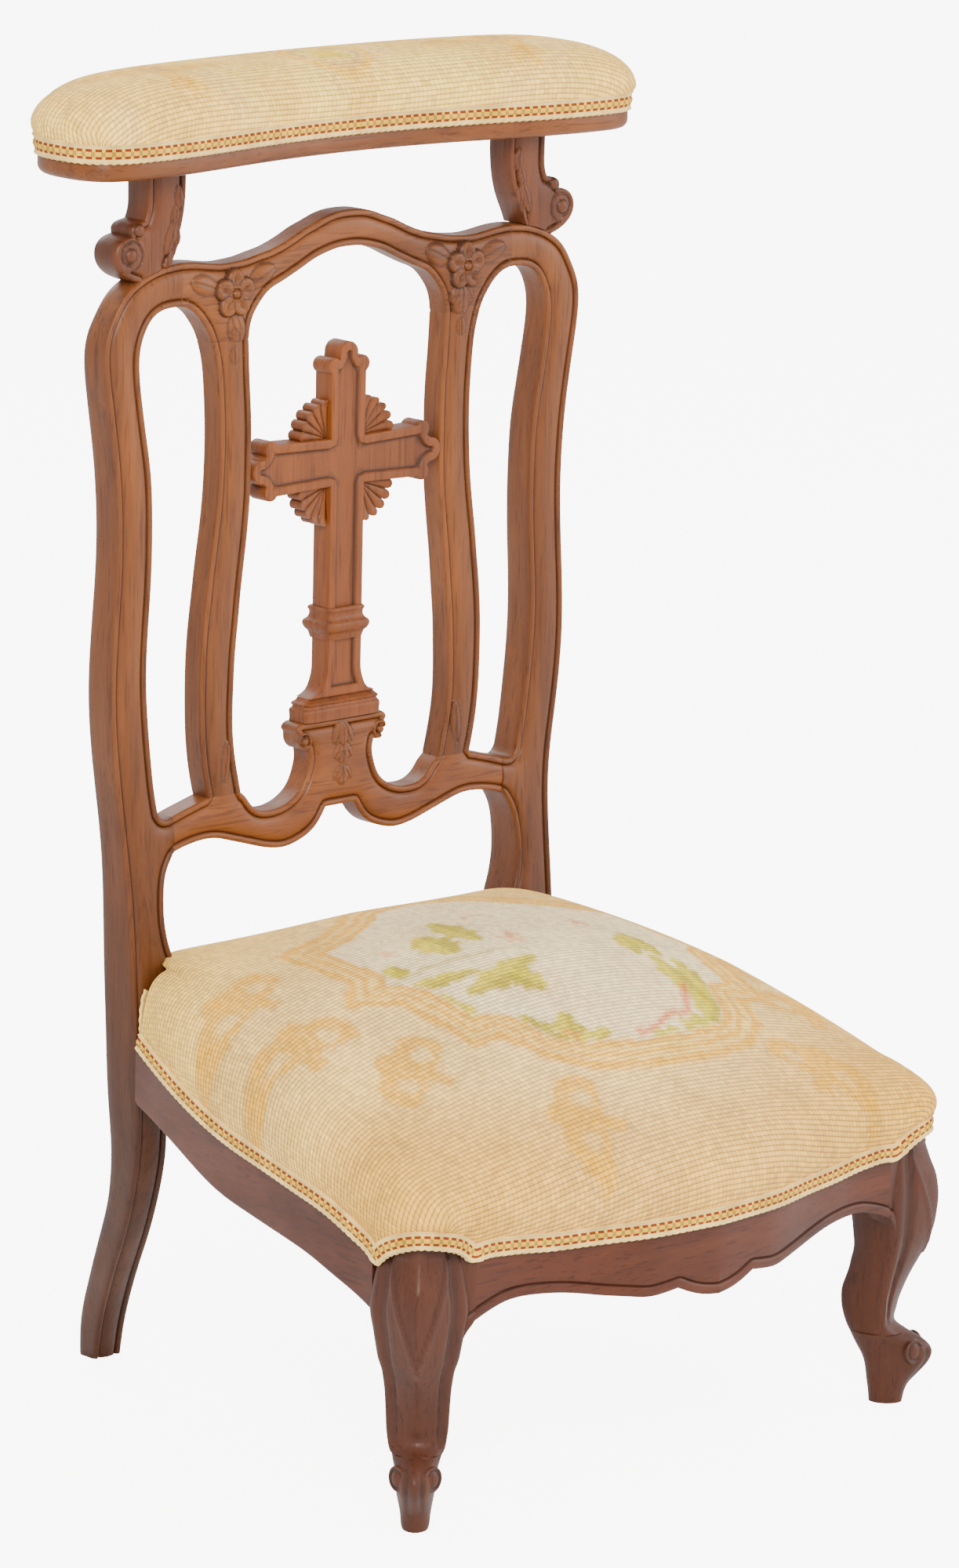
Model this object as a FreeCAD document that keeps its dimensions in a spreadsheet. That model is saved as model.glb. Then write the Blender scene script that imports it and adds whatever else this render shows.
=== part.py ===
"""Kneeling bench (prie-dieu chair) in walnut, with a carved open back, a padded arm rest and a low sprung seat.

Design coordinates: X across, Y back from the front face of the back frame, Z up from the floor, in millimetres.
Every finished piece is then moved back by the cell back_face, so that the row origin is under the middle of the box.
"""
import FreeCAD, Part
import math
import os
from FreeCAD import Placement, Rotation, Vector

doc = FreeCAD.newDocument("KneelingBench")
nodes = {}

# ---------------------------------------------------------------- driving dimensions

SIZES = {
    "back_face": 137.4,         # front face of the back frame, behind the middle of the whole box
    "member_depth": 18.0,       # crest rail, splats, lower rail and cross, front to back
    "stile_plank": 260.0,       # length of plank that the stile outline is sawn from
    "post_depth": 22.0,         # arm posts, front to back
    "board_base": 827.0,        # underside of the arm board
    "board_thick": 23.0,        # arm board
    "board_round": 6.0,         # rounding of the arm board's lower edge
    "rail_top": 187.0,          # top of the front rail
    "rail_thick": 26.0,         # seat rails, outside face to inside face
    "rear_rail_low": 222.0,     # bottom of the rear seat rail
    "rear_rail_high": 70.0,     # height of the rear seat rail
    "rear_rail_half": 150.0,    # half the rear seat rail's length
    "dowel_radius": 4.0,        # dowels of the back frame
    "seat_dowel_radius": 4.5,   # dowels of the seat frame
    "cross_half": 15.0,         # half the width of the cross's shaft
    "collar_proud": 3.0,        # how far the collar stands out from the shaft
    "plinth_high": 16.0,        # plinth block under the cross
    "ray_depth": 11.0,          # fans of rays, front to back
    "pedestal_top": 443.5,      # top of the lower rail's pedestal
    "gimp_thick": 2.0,          # braid
    "gimp_wide": 13.0,          # braid, bottom edge to top edge
    "cover_thick": 1.6,         # needlework cover
    "strap_wide": 50.0,         # webbing
    "strap_thick": 2.0,         # webbing
    "spring_wire": 1.8,         # radius of the spring wire
    "spring_radius": 30.0,      # seat springs
    "spring_pitch": 6.2,        # rise of each turn
    "spring_turns": 4.0,        # turns of each spring
}

sheet = doc.addObject("Spreadsheet::Sheet", "Sizes")
for row, (alias, value) in enumerate(SIZES.items(), start=1):
    sheet.set(f"A{row}", alias)
    sheet.set(f"B{row}", str(value))
    sheet.setAlias(f"B{row}", alias)
doc.recompute()


def size(alias):
    """One driving dimension, read from the sheet."""
    return float(getattr(sheet, alias))


# ---------------------------------------------------------------- drawing helpers


def new_body(label):
    body = doc.addObject("PartDesign::Body", label)
    body.Label = label
    return body


def sketch_on(body, role, label, height=0.0):
    """A sketch on one of the body's own origin planes, raised along the plane's normal by height."""
    plane = [feature for feature in body.Origin.OriginFeatures if feature.Role == role][0]
    sketch = body.newObject("Sketcher::SketchObject", label)
    sketch.AttachmentSupport = [(plane, "")]
    sketch.MapMode = "FlatFace"
    sketch.AttachmentOffset = Placement(Vector(0, 0, height), Rotation())
    return sketch


def curve_through(points, closed=False):
    spline = Part.BSplineCurve()
    spline.interpolate(Points=[Vector(u, v, 0) for u, v in points], PeriodicFlag=closed)
    return spline


def draw(sketch, runs):
    """A closed outline of runs that follow on: two points are a straight edge, more are one smooth curve."""
    for run in runs:
        if len(run) == 2:
            sketch.addGeometry(Part.LineSegment(Vector(*run[0], 0), Vector(*run[1], 0)), False)
        else:
            sketch.addGeometry(curve_through(run), False)


def joined(*runs):
    """The runs with each one starting where the one before it ended, and the last one closing the outline."""
    chain = [list(runs[0])]
    for run in runs[1:]:
        chain.append([chain[-1][-1]] + list(run))
    chain.append([chain[-1][-1], chain[0][0]])
    return chain


def flipped(points, side=-1):
    return [(side * u, v) for u, v in points]


def both_sides(*runs):
    """Runs given from the middle out on the right: adds their mirror image, so that the outline closes."""
    right = [list(runs[0])]
    for run in runs[1:]:
        right.append([right[-1][-1]] + list(run))
    left = [flipped(run)[::-1] for run in right[::-1]]
    return right + left


def pad(body, sketch, cell=None, length=None, middle=False, towards_back=False):
    feature = body.newObject("PartDesign::Pad", sketch.Label + "_pad")
    feature.Profile = sketch
    feature.Midplane = middle
    feature.Reversed = towards_back
    if cell:
        feature.setExpression("Length", "Sizes." + cell)
    else:
        feature.Length = length
    sketch.Visibility = False
    return feature


def board(label, runs, cell="member_depth", length=None):
    """A piece sawn to a front outline from a board whose front face is the plane Y = 0."""
    body = new_body(label)
    outline = sketch_on(body, "XZ_Plane", label + "_outline")
    draw(outline, runs)
    pad(body, outline, cell, length, towards_back=True)
    return body


def column(label, runs, low, length):
    """A piece sawn to a plan outline, standing from Z = low up."""
    body = new_body(label)
    outline = sketch_on(body, "XY_Plane", label + "_plan", low)
    draw(outline, runs)
    pad(body, outline, length=length)
    return body


def slab(label, runs, length, offset=0.0):
    """A piece sawn to a side outline, in Y and Z, and centred on X = offset."""
    body = new_body(label)
    outline = sketch_on(body, "YZ_Plane", label + "_side", offset)
    draw(outline, runs)
    pad(body, outline, length=length, middle=True)
    return body


def common(label, *pieces):
    both = doc.addObject("Part::MultiCommon", label)
    both.Label = label
    both.Shapes = list(pieces)
    return both


def cut(label, piece, tools):
    if not tools:
        return piece
    result = doc.addObject("Part::Cut", label)
    result.Label = label
    result.Base = piece
    result.Tool = tools[0] if len(tools) == 1 else group(label + "_bores", tools)
    return result


def group(label, pieces):
    together = doc.addObject("Part::Compound", label)
    together.Label = label
    together.Links = pieces
    return together


def cylinder(label, cell, length, middle_at, direction):
    """A round rod centred on middle_at along direction, its radius bound to the sheet."""
    rod = doc.addObject("Part::Cylinder", label)
    rod.setExpression("Radius", "Sizes." + cell)
    rod.Height = length
    turn = Rotation(Vector(0, 0, 1), direction)
    start = middle_at - Vector(direction).normalize() * (length / 2)
    rod.Placement = Placement(start, turn)
    return rod


def keep(name, piece):
    """Makes a piece a node: it takes the node's name and moves back from the design frame to the row frame."""
    piece.Label = name
    piece.setExpression("Placement.Base.y", "Sizes.back_face")
    nodes[name] = piece


# ---------------------------------------------------------------- shared edges and joints

# top of the stile's shoulder where the arm post stands
SHOULDER_SEAT = [(158.0, 764.6), (167.0, 762.3), (176.0, 759.3), (184.0, 755.6)]
CREST_JOINT_X = 146.6
CREST_JOINT_Z = (736.4, 765.2)
SPLAT_TOP_Z = 710.0
SPLAT_TOP_X = (87.6, 119.3)
SPLAT_LOW_Z = 404.2
SPLAT_LOW_X = (88.8, 117.8)
RAIL_JOINT_X = 148.8
RAIL_JOINT_Z = (371.0, 395.6)
LEG_FRONT_X = 187.5
LEG_BACK_Y = -299.5
STILE_FRONT_Y = -13.0
MIDDLE_Y = size("member_depth") / 2

AXIS_X = Vector(1, 0, 0)
AXIS_Y = Vector(0, 1, 0)
AXIS_Z = Vector(0, 0, 1)


def dowel_pair(label, cell, length, x, y, z, direction):
    return [
        cylinder(f"{label}_{index}", cell, length, Vector(side * x, y, z), direction)
        for index, side in enumerate((-1, 1))
    ]


crest_dowels = dowel_pair("crest_dowel", "dowel_radius", 40, CREST_JOINT_X, MIDDLE_Y, 751, AXIS_X)
splat_dowels = dowel_pair("splat_top_dowel", "dowel_radius", 36, 103.4, MIDDLE_Y, SPLAT_TOP_Z, AXIS_Z)
splat_dowels += dowel_pair("splat_low_dowel", "dowel_radius", 30, 103.3, MIDDLE_Y, SPLAT_LOW_Z, AXIS_Z)
lower_rail_dowels = dowel_pair("lower_rail_dowel", "dowel_radius", 30, RAIL_JOINT_X, MIDDLE_Y, 383, AXIS_X)
post_dowels = dowel_pair("post_low_dowel", "dowel_radius", 32, 171, 10, 760.5, AXIS_Z)
post_dowels += dowel_pair("post_top_dowel", "dowel_radius", 28, 160, 10, size("board_base"), AXIS_Z)
cross_dowels = [
    cylinder("cross_foot_dowel", "dowel_radius", 64, Vector(0, MIDDLE_Y, 452), AXIS_Z),
]
front_rail_dowels = []
for level in (152, 173):
    front_rail_dowels += dowel_pair(
        f"front_rail_dowel_{level}", "seat_dowel_radius", 42, LEG_FRONT_X, -331, level, AXIS_X
    )
side_rail_dowels = []
for level in (158, 176):
    side_rail_dowels += dowel_pair(
        f"side_rail_front_dowel_{level}", "seat_dowel_radius", 34, 222.5, LEG_BACK_Y, level, AXIS_Y
    )
for level in (221, 240):
    side_rail_dowels += dowel_pair(
        f"side_rail_rear_dowel_{level}", "seat_dowel_radius", 30, 178, STILE_FRONT_Y, level, AXIS_Y
    )
rear_rail_dowels = []
for level in (238, 272):
    rear_rail_dowels += dowel_pair(
        f"rear_rail_dowel_{level}", "seat_dowel_radius", 32, size("rear_rail_half"), 1, level, AXIS_X
    )

# ---------------------------------------------------------------- rear legs, floor to shoulder in one piece

LEG_OUTER = [
    (141.5, -1), (150.4, 39), (162.7, 85), (175.0, 131), (184.0, 175), (188.7, 217), (190.0, 258), (190.3, 338),
    (193.0, 383), (198.0, 425), (202.6, 465), (203.0, 498), (200.0, 540), (198.4, 590), (201.0, 632),
    (208.0, 678), (211.3, 708), (209.4, 722), (203.5, 736), (195.0, 747.5), (184.0, 755.6),
]
STILE_INNER = [
    (155.5, 736.6), (163.0, 735.2), (170.5, 731.0), (177.0, 722.5), (180.8, 711), (181.2, 698), (178.0, 672),
    (172.0, 637), (168.8, 602), (168.7, 575), (171.0, 536), (172.4, 497), (171.0, 466), (167.0, 430), (162.3, 394),
]
LEG_INNER = [
    (152.6, 366), (156.6, 357), (159.2, 344), (159.7, 330), (158.4, 317), (155.6, 305), (152.2, 295), (150.0, 286),
]
SABRE_INNER = [(151.5, 206), (155.5, 190), (154.5, 165), (148.5, 131), (137.2, 85), (125.6, 39), (117.5, -1)]
SIDE_FRONT = [
    (0, 400), (-1.6, 372), (-6.0, 330), (-9.6, 290), (-12.6, 250), (-13.6, 215), (-11.8, 187), (-2.5, 156),
    (11.0, 129), (24.6, 106), (39.6, 83), (54.8, 60), (68.2, 37), (78.5, 15), (84.5, -1),
]
SIDE_BACK = [
    (101.4, -1), (95.6, 21.5), (88.4, 39), (75.3, 62), (61.0, 85), (47.0, 108), (33.9, 131), (24.8, 153),
    (20.2, 177), (19.4, 205), (20.2, 255), (22.6, 300), (24.0, 340), (25.4, 400), (26.0, 500), (25.0, 620),
    (24.0, 700), (20.0, 768),
]


def rear_leg(name, side):
    """Sawn twice from one plank: to the waisted outline seen from the front, and to the sabre curve from the side."""
    outline = joined(
        flipped(LEG_OUTER, side),
        flipped([SHOULDER_SEAT[2], SHOULDER_SEAT[1], SHOULDER_SEAT[0]], side),
        flipped([(CREST_JOINT_X, CREST_JOINT_Z[1])], side),
        flipped([(CREST_JOINT_X, CREST_JOINT_Z[0])], side),
        flipped(STILE_INNER, side),
        flipped([(RAIL_JOINT_X, RAIL_JOINT_Z[1])], side),
        flipped([(RAIL_JOINT_X, RAIL_JOINT_Z[0])], side),
        flipped(LEG_INNER, side),
        flipped([(150.0, 214)], side),
        flipped(SABRE_INNER, side),
    )
    front = new_body(name + "_front_saw")
    front_sketch = sketch_on(front, "XZ_Plane", name + "_front_outline")
    draw(front_sketch, outline)
    pad(front, front_sketch, "stile_plank", middle=True)
    profile = joined(SIDE_FRONT, SIDE_BACK[:1], SIDE_BACK[1:], [(0, 768)])
    edge = slab(name + "_side_saw", profile, 120, side * 160)
    trimmed = common(name + "_blank", front, edge)
    floor = doc.addObject("Part::Box", name + "_floor")
    floor.Length = 200
    floor.Width = 200
    floor.Height = 20
    floor.Placement.Base = Vector(side * 150 - 100, 0, -20)
    index = (side + 1) // 2
    bores = [crest_dowels[index], lower_rail_dowels[index], post_dowels[index]]
    bores += side_rail_dowels[4 + index::2]
    bores += rear_rail_dowels[index::2]
    keep(name, cut(name, trimmed, [floor] + bores))


# ---------------------------------------------------------------- back frame between the stiles

CREST_TOP = [(0, 788), (20, 785.6), (40, 778), (55, 772), (70, 767.3), (85, 763.7), (100, 761.9), (115, 762.2),
             (130, 764), (CREST_JOINT_X, CREST_JOINT_Z[1])]
CREST_BAY = [(138, 733), (130, 727.5), (124, 719.5), (SPLAT_TOP_X[1], SPLAT_TOP_Z)]
CREST_ARCH = [(86.5, 720), (82, 729), (76, 735.5), (66, 741.5), (52, 747.8), (38, 754.6), (20, 761.2), (0, 763.5)]

SPLAT_OUTER = [(115.5, 695), (112.6, 670), (111.6, 640), (112.6, 610), (116, 580), (120.5, 550), (124.5, 520),
               (126, 490), (126, 465), (124, 438), (121, 420), (SPLAT_LOW_X[1], SPLAT_LOW_Z)]
SPLAT_INNER = [(93, 420), (96, 440), (97, 465), (96, 490), (93.5, 520), (90, 550), (86.5, 580), (84.5, 605),
               (84, 635), (84.8, 665), (86.8, 690), (SPLAT_TOP_X[0], SPLAT_TOP_Z)]

PEDESTAL_SCOOP = [(28.6, 420), (29.3, 413), (32, 405), (37, 397.5), (44, 392), (52, 389), (62, 388.2),
                  (71, 389.6), (79, 394), (85, 399.5), (SPLAT_LOW_X[0], SPLAT_LOW_Z)]
RAIL_ARCH_TOP = [(125, 402.2), (135, 399.6), (RAIL_JOINT_X, RAIL_JOINT_Z[1])]
RAIL_UNDERSIDE = [(143, 373), (132, 375.4), (119, 376.2), (105, 375), (92, 371.5), (78, 366.6), (66, 362.8),
                  (56, 361.5), (46, 362), (37, 364), (29, 368), (22, 373.5), (17, 379), (14, 383.5)]


def crest_rail():
    runs = both_sides(
        CREST_TOP,
        [(CREST_JOINT_X, CREST_JOINT_Z[0])],
        CREST_BAY,
        [(SPLAT_TOP_X[0], SPLAT_TOP_Z)],
        CREST_ARCH,
    )
    blank = board("crest_rail_blank", runs)
    keep("crest_rail", cut("crest_rail", blank, crest_dowels + splat_dowels[:2]))


def splat(name, side):
    outline = joined(
        flipped([(SPLAT_TOP_X[1], SPLAT_TOP_Z)] + SPLAT_OUTER, side),
        flipped([(SPLAT_LOW_X[0], SPLAT_LOW_Z)], side),
        flipped(SPLAT_INNER, side),
    )
    blank = board(name + "_blank", outline)
    index = (side + 1) // 2
    keep(name, cut(name, blank, [splat_dowels[index], splat_dowels[2 + index]]))


def lower_rail():
    """Rail with a central pedestal, whose ends turn out in small volutes over two scoops."""
    top = size("pedestal_top")
    runs = both_sides(
        [(0, top), (36, top)],
        [(39.8, 440.2)],
        [(37.6, 437.4)],
        [(38.3, 433), (36.8, 428.6), (33, 425)],
        [(29, 425)],
        PEDESTAL_SCOOP,
        [(SPLAT_LOW_X[1], SPLAT_LOW_Z)],
        RAIL_ARCH_TOP,
        [(RAIL_JOINT_X, RAIL_JOINT_Z[0])],
        RAIL_UNDERSIDE,
        [(0, 383.5)],
    )
    blank = board("lower_rail_blank", runs)
    keep("lower_rail", cut("lower_rail", blank, lower_rail_dowels + splat_dowels[2:] + cross_dowels[:1]))


# ---------------------------------------------------------------- cross

ARM_CENTRE_Z = 619.0
ARM_TIP_X = 83.6
SHAFT_TOP_Z = 699.8
LOBE_RADIUS = 7.0
TIP_RADIUS = 9.6


def arc_run(centre_u, centre_v, radius, start, end, steps=4):
    """Points along an arc, from angle start to angle end in degrees."""
    angles = [math.radians(start + (end - start) * k / steps) for k in range(steps + 1)]
    return [(centre_u + radius * math.cos(a), centre_v + radius * math.sin(a)) for a in angles]


def trefoil(half, length):
    """Outline of a bar's trefoil end, the bar's middle on V = 0 and running to U = length, from below to above."""
    lobe_u = length - TIP_RADIUS - 6.0
    side_v = half - 1.6
    return [
        arc_run(lobe_u, -side_v, LOBE_RADIUS, -140, -15),
        arc_run(length - TIP_RADIUS, 0, TIP_RADIUS, -62, 62),
        arc_run(lobe_u, side_v, LOBE_RADIUS, 15, 140),
    ]


def chain_closed(curves):
    """Straight edges between the ends of successive curves, all round."""
    runs = []
    for here, after in zip(curves, curves[1:] + curves[:1]):
        if len(here) > 1:
            runs.append(here)
        runs.append([here[-1], after[0]])
    return runs


def cross():
    half = size("cross_half")
    foot = size("pedestal_top") + size("plinth_high")
    right = [[(u, ARM_CENTRE_Z + v) for u, v in run] for run in trefoil(half + 1.0, ARM_TIP_X)]
    left = [flipped(run)[::-1] for run in right[::-1]]
    top = [[(-v, u) for u, v in run] for run in trefoil(half - 1.0, SHAFT_TOP_Z)]
    flare_right = [(29, foot), (22, 462.5), (17.2, 470), (half, 482)]
    flare_left = flipped(flare_right)[::-1]
    corners_low = ARM_CENTRE_Z - half - 1.0
    corners_high = ARM_CENTRE_Z + half + 1.0
    curves = [
        flare_right,
        [(half, corners_low)],
        *right,
        [(half, corners_high)],
        *top,
        [(-half, corners_high)],
        *left,
        [(-half, corners_low)],
        flare_left,
    ]
    blank = board("cross_blank", chain_closed(curves))
    keep("cross", cut("cross", blank, cross_dowels[:1]))


def cross_rays():
    """Four fans of fluted rays in the corners of the cross, each a quarter with a scalloped rim."""
    half = size("cross_half")
    fans = []
    flutes = 5
    reach = 27.0
    for index, (sx, sz) in enumerate(((1, 1), (-1, 1), (-1, -1), (1, -1))):
        corner_x = half
        corner_z = half + 1.0
        rim = []
        step = 90.0 / flutes
        tip = reach * math.sin(math.radians(step / 2))
        for k in range(flutes):
            angle = math.radians(step * (k + 0.5))
            centre = ((reach - tip) * math.cos(angle), (reach - tip) * math.sin(angle))
            facing = step * (k + 0.5)
            rim.append(arc_run(centre[0], centre[1], tip * 0.9, facing - 58, facing + 58))
        curves = [[(0, 0)]] + rim
        placed = [
            [(sx * (corner_x + u), ARM_CENTRE_Z + sz * (corner_z + v)) for u, v in run]
            for run in curves
        ]
        body = new_body(f"ray_fan_{index}")
        outline = sketch_on(body, "XZ_Plane", f"ray_fan_outline_{index}", -3.0)
        draw(outline, chain_closed(placed))
        pad(body, outline, "ray_depth", towards_back=True)
        fans.append(body)
    keep("cross_rays", group("cross_rays", fans))


def collar_and_plinth():
    """A moulded collar round the shaft, and the stepped plinth block that the cross stands on."""
    half = size("cross_half")
    depth = size("member_depth")
    proud = size("collar_proud")
    rings = []
    for label, low, high, out in (("low", 500.0, 504.5, 1.2), ("bead", 504.5, 511.0, proud),
                                  ("neck", 511.0, 516.5, 1.4), ("cap", 516.5, 520.0, 0.6)):
        ring = doc.addObject("Part::Box", "collar_" + label)
        ring.Length = 2 * (half + out + 1.2)
        ring.Width = depth + 2 * out
        ring.Height = high - low
        ring.Placement.Base = Vector(-half - out - 1.2, -out, low)
        rings.append(ring)
    body = doc.addObject("Part::MultiFuse", "collar_blank")
    body.Shapes = rings
    shaft_way = doc.addObject("Part::Box", "collar_way")
    shaft_way.setExpression("Length", "Sizes.cross_half * 2")
    shaft_way.setExpression("Width", "Sizes.member_depth")
    shaft_way.Height = 40
    shaft_way.Placement.Base = Vector(-half, 0, 490)
    keep("cross_collar", cut("cross_collar", body, [shaft_way]))

    foot = size("pedestal_top")
    side = [(34.0, foot), (34.0, foot + 8.6), (32.4, foot + 10.4), (32.4, foot + 11.6), (30.2, foot + 14.0),
            (30.2, foot + size("plinth_high"))]
    runs = joined([flipped(side)[0], side[0]], *[[point] for point in side[1:]],
                  *[[point] for point in flipped(side)[:0:-1]])
    plinth = new_body("cross_plinth_blank")
    outline = sketch_on(plinth, "XZ_Plane", "plinth_outline", 2.0)
    draw(outline, runs)
    pad(plinth, outline, length=depth + 3.0, towards_back=True)
    keep("cross_plinth", cut("cross_plinth", plinth, cross_dowels[:1]))


# ---------------------------------------------------------------- arm posts and arm board

POST_INNER = [(143.8, 812), (145, 800), (147.6, 790), (151.6, 780), (155.4, 771.5), (158.0, 764.6)]
POST_VOLUTE = [(190, 757.6), (197, 761.4), (202.6, 767), (204.4, 774.6), (201.8, 781.6), (196.4, 785.6),
               (190.4, 786.8)]
POST_BUD = [(190.4, 790.6), (187.6, 793.8), (183, 795), (178.6, 796.2)]
POST_OUTER = [(176.9, 801), (176.2, 812), (176.5, 827)]


def arm_post(name, side):
    """Scrolled support: straight at the top, turning out at the foot in a volute over the stile's shoulder."""
    top = size("board_base")
    outline = joined(
        flipped([(143.6, top)] + POST_INNER, side),
        flipped(SHOULDER_SEAT[1:], side),
        flipped(POST_VOLUTE, side),
        flipped(POST_BUD, side),
        flipped(POST_OUTER[:2] + [(176.5, top)], side),
    )
    blank = board(name + "_blank", outline, "post_depth")
    index = (side + 1) // 2
    keep(name, cut(name, blank, [post_dowels[index], post_dowels[2 + index]]))


BOARD_FRONT = [(0, -6), (60, -9.5), (120, -19), (165, -26.5), (200, -28.5), (220, -26.5)]
BOARD_END = [(234, -19), (241, -6), (242.6, 11), (241, 28), (232, 46), (214, 60)]
BOARD_BACK = [(170, 75), (100, 85), (0, 89)]
BOARD_MIDDLE = (30.0, 242.6, 58.0)


def ring_runs(front, end, back, middle, shrink):
    """A closed symmetrical outline drawn in by shrink at its furthest points; middle is (y, half x, half y)."""
    middle_y, reach_x, reach_y = middle
    wide = 1 - shrink / reach_x
    deep = 1 - shrink / reach_y

    def drawn_in(points):
        return [(x * wide, middle_y + (y - middle_y) * deep) for x, y in points]

    right_front = drawn_in(front)
    right_end = drawn_in(front[-1:] + end)
    right_back = drawn_in(end[-1:] + back)
    return [
        flipped(right_front[1:])[::-1] + right_front,
        right_end,
        right_back + flipped(right_back[:-1])[::-1],
        flipped(right_end)[::-1],
    ]


def stacked_rings(label, rings, straight=False):
    """A solid over the arm board's outline: rings are (height above its underside, how far drawn in)."""
    body = new_body(label)
    sketches = []
    for index, (height, shrink) in enumerate(rings):
        ring = sketch_on(body, "XY_Plane", f"{label}_ring_{index}", size("board_base") + height)
        draw(ring, ring_runs(BOARD_FRONT, BOARD_END, BOARD_BACK, BOARD_MIDDLE, shrink))
        sketches.append(ring)
    loft = body.newObject("PartDesign::AdditiveLoft", label + "_loft")
    loft.Profile = sketches[0]
    loft.Sections = sketches[1:]
    loft.Ruled = straight
    return body


ARM_PAD_RINGS = [(23.0, -1.0), (33.0, -4.0), (45.0, -1.0), (56.0, 12.0), (62.5, 32.0)]


def grown(rings, thick):
    """The same rings with a covering of the given thickness over them, open underneath."""
    return [(rings[0][0], rings[0][1] - thick)] + [(height + thick / 2, shrink - thick) for height, shrink in rings[1:]]


def arm_rest():
    thick = size("board_thick")
    rounding = size("board_round")
    blank = stacked_rings("arm_board_blank", [(0.0, rounding), (rounding * 0.3, rounding * 0.3), (rounding, 0.0),
                                              (thick, 0.0)], straight=True)
    keep("arm_board", cut("arm_board", blank, post_dowels[2:]))

    cover = size("cover_thick")
    keep("arm_stuffing", stacked_rings("arm_stuffing", ARM_PAD_RINGS))
    outer = stacked_rings("arm_cover_outside", grown(ARM_PAD_RINGS, cover))
    inside = stacked_rings("arm_cover_inside", ARM_PAD_RINGS)
    keep("arm_cover", cut("arm_cover", outer, [inside]))

    low = size("board_base") + 12.0
    band = new_body("arm_gimp_outside")
    outside = sketch_on(band, "XY_Plane", "arm_gimp_outside_plan", low)
    draw(outside, ring_runs(BOARD_FRONT, BOARD_END, BOARD_BACK, BOARD_MIDDLE, -size("gimp_thick")))
    pad(band, outside, length=thick - 12.4)
    hole = new_body("arm_gimp_inside")
    inside_plan = sketch_on(hole, "XY_Plane", "arm_gimp_inside_plan", low)
    draw(inside_plan, ring_runs(BOARD_FRONT, BOARD_END, BOARD_BACK, BOARD_MIDDLE, -0.05))
    pad(hole, inside_plan, length=thick)
    keep("arm_gimp", cut("arm_gimp", band, [hole]))


# ---------------------------------------------------------------- seat frame

SEAT_FRONT_Z = 189.0
SEAT_FRONT_Y = -372.0
SEAT_SLOPE = math.atan(0.2056)
FRONT_FACE = [(0, -374), (33, -371.4), (60, -367.6), (90, -359.6), (110, -354.6), (150, -346.6), (LEG_FRONT_X, -344.6)]
FRONT_UNDERSIDE = [(187.5, 137.4), (180, 140.6), (172, 143.6), (162, 145.8), (151, 146.5), (138, 145.6),
                   (122, 143.2), (106, 141), (90, 138.6), (74, 135.6), (60, 134.2), (46, 134.6), (34, 136.8)]
FRONT_LOBE = [(23, 132.4), (12, 128.6), (0, 127.4)]
SIDE_FACE = [(236.0, LEG_BACK_Y), (229.4, -232), (219.4, -161), (206.6, -92), (190.4, STILE_FRONT_Y)]
SIDE_UNDERSIDE = [(LEG_BACK_Y, 142), (-277, 149.9), (-255, 156), (-232, 161.6), (-209, 165.6), (-185, 168.6),
                  (-161, 171.6), (-135, 175), (-110, 179.8), (-84, 187.4), (-57, 196.4), (-30, 204.6),
                  (STILE_FRONT_Y, 209)]
SIDE_BRAID = [(LEG_BACK_Y, 177.2), (-289, 181.4), (-266, 189.4), (-244, 195.4), (-221, 199.6), (-197, 203),
              (-173, 206.4), (-148, 209.8), (-122, 214.2), (-97, 219.4), (-76, 225.2), (-52, 233.2), (-30, 241.6),
              (STILE_FRONT_Y, 248)]


# the webbing is tacked up into a rebate along the inner lower edge of the front and side rails
REBATE_FROM = 12.0
REBATE_TOP = 150.0
REBATE_HIGH = 9.0


def front_rail():
    """Bowed in plan, with a scalloped lower edge that drops to a lobe in the middle."""
    thick = size("rail_thick")
    inner = [(x, y + thick) for x, y in FRONT_FACE]
    plan = both_sides(FRONT_FACE, inner[-1:], inner[-2::-1])
    bow = column("front_rail_plan", plan, 100, 120)
    top = size("rail_top")
    elevation = both_sides([(0, top), (LEG_FRONT_X, top)], FRONT_UNDERSIDE[:1], FRONT_UNDERSIDE[1:], FRONT_LOBE)
    face = new_body("front_rail_elevation")
    outline = sketch_on(face, "XZ_Plane", "front_rail_outline", 300)
    draw(outline, elevation)
    pad(face, outline, length=100)
    mouth = [(x, y + REBATE_FROM) for x, y in FRONT_FACE[:-1]]
    throat = [(x, y + thick + 1) for x, y in FRONT_FACE[:-1]]
    rebate = column("front_rail_rebate", both_sides(mouth, throat[-1:], throat[-2::-1]), 100, REBATE_TOP - 100)
    keep("front_rail", cut("front_rail", common("front_rail_blank", bow, face),
                           [rebate] + front_rail_dowels + webbing_tack_sets["front"]))


def seat_plane_z(y):
    """Height of the sloping plane that the seat is stuffed on."""
    return SEAT_FRONT_Z + (y - SEAT_FRONT_Y) * math.tan(SEAT_SLOPE)


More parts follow.
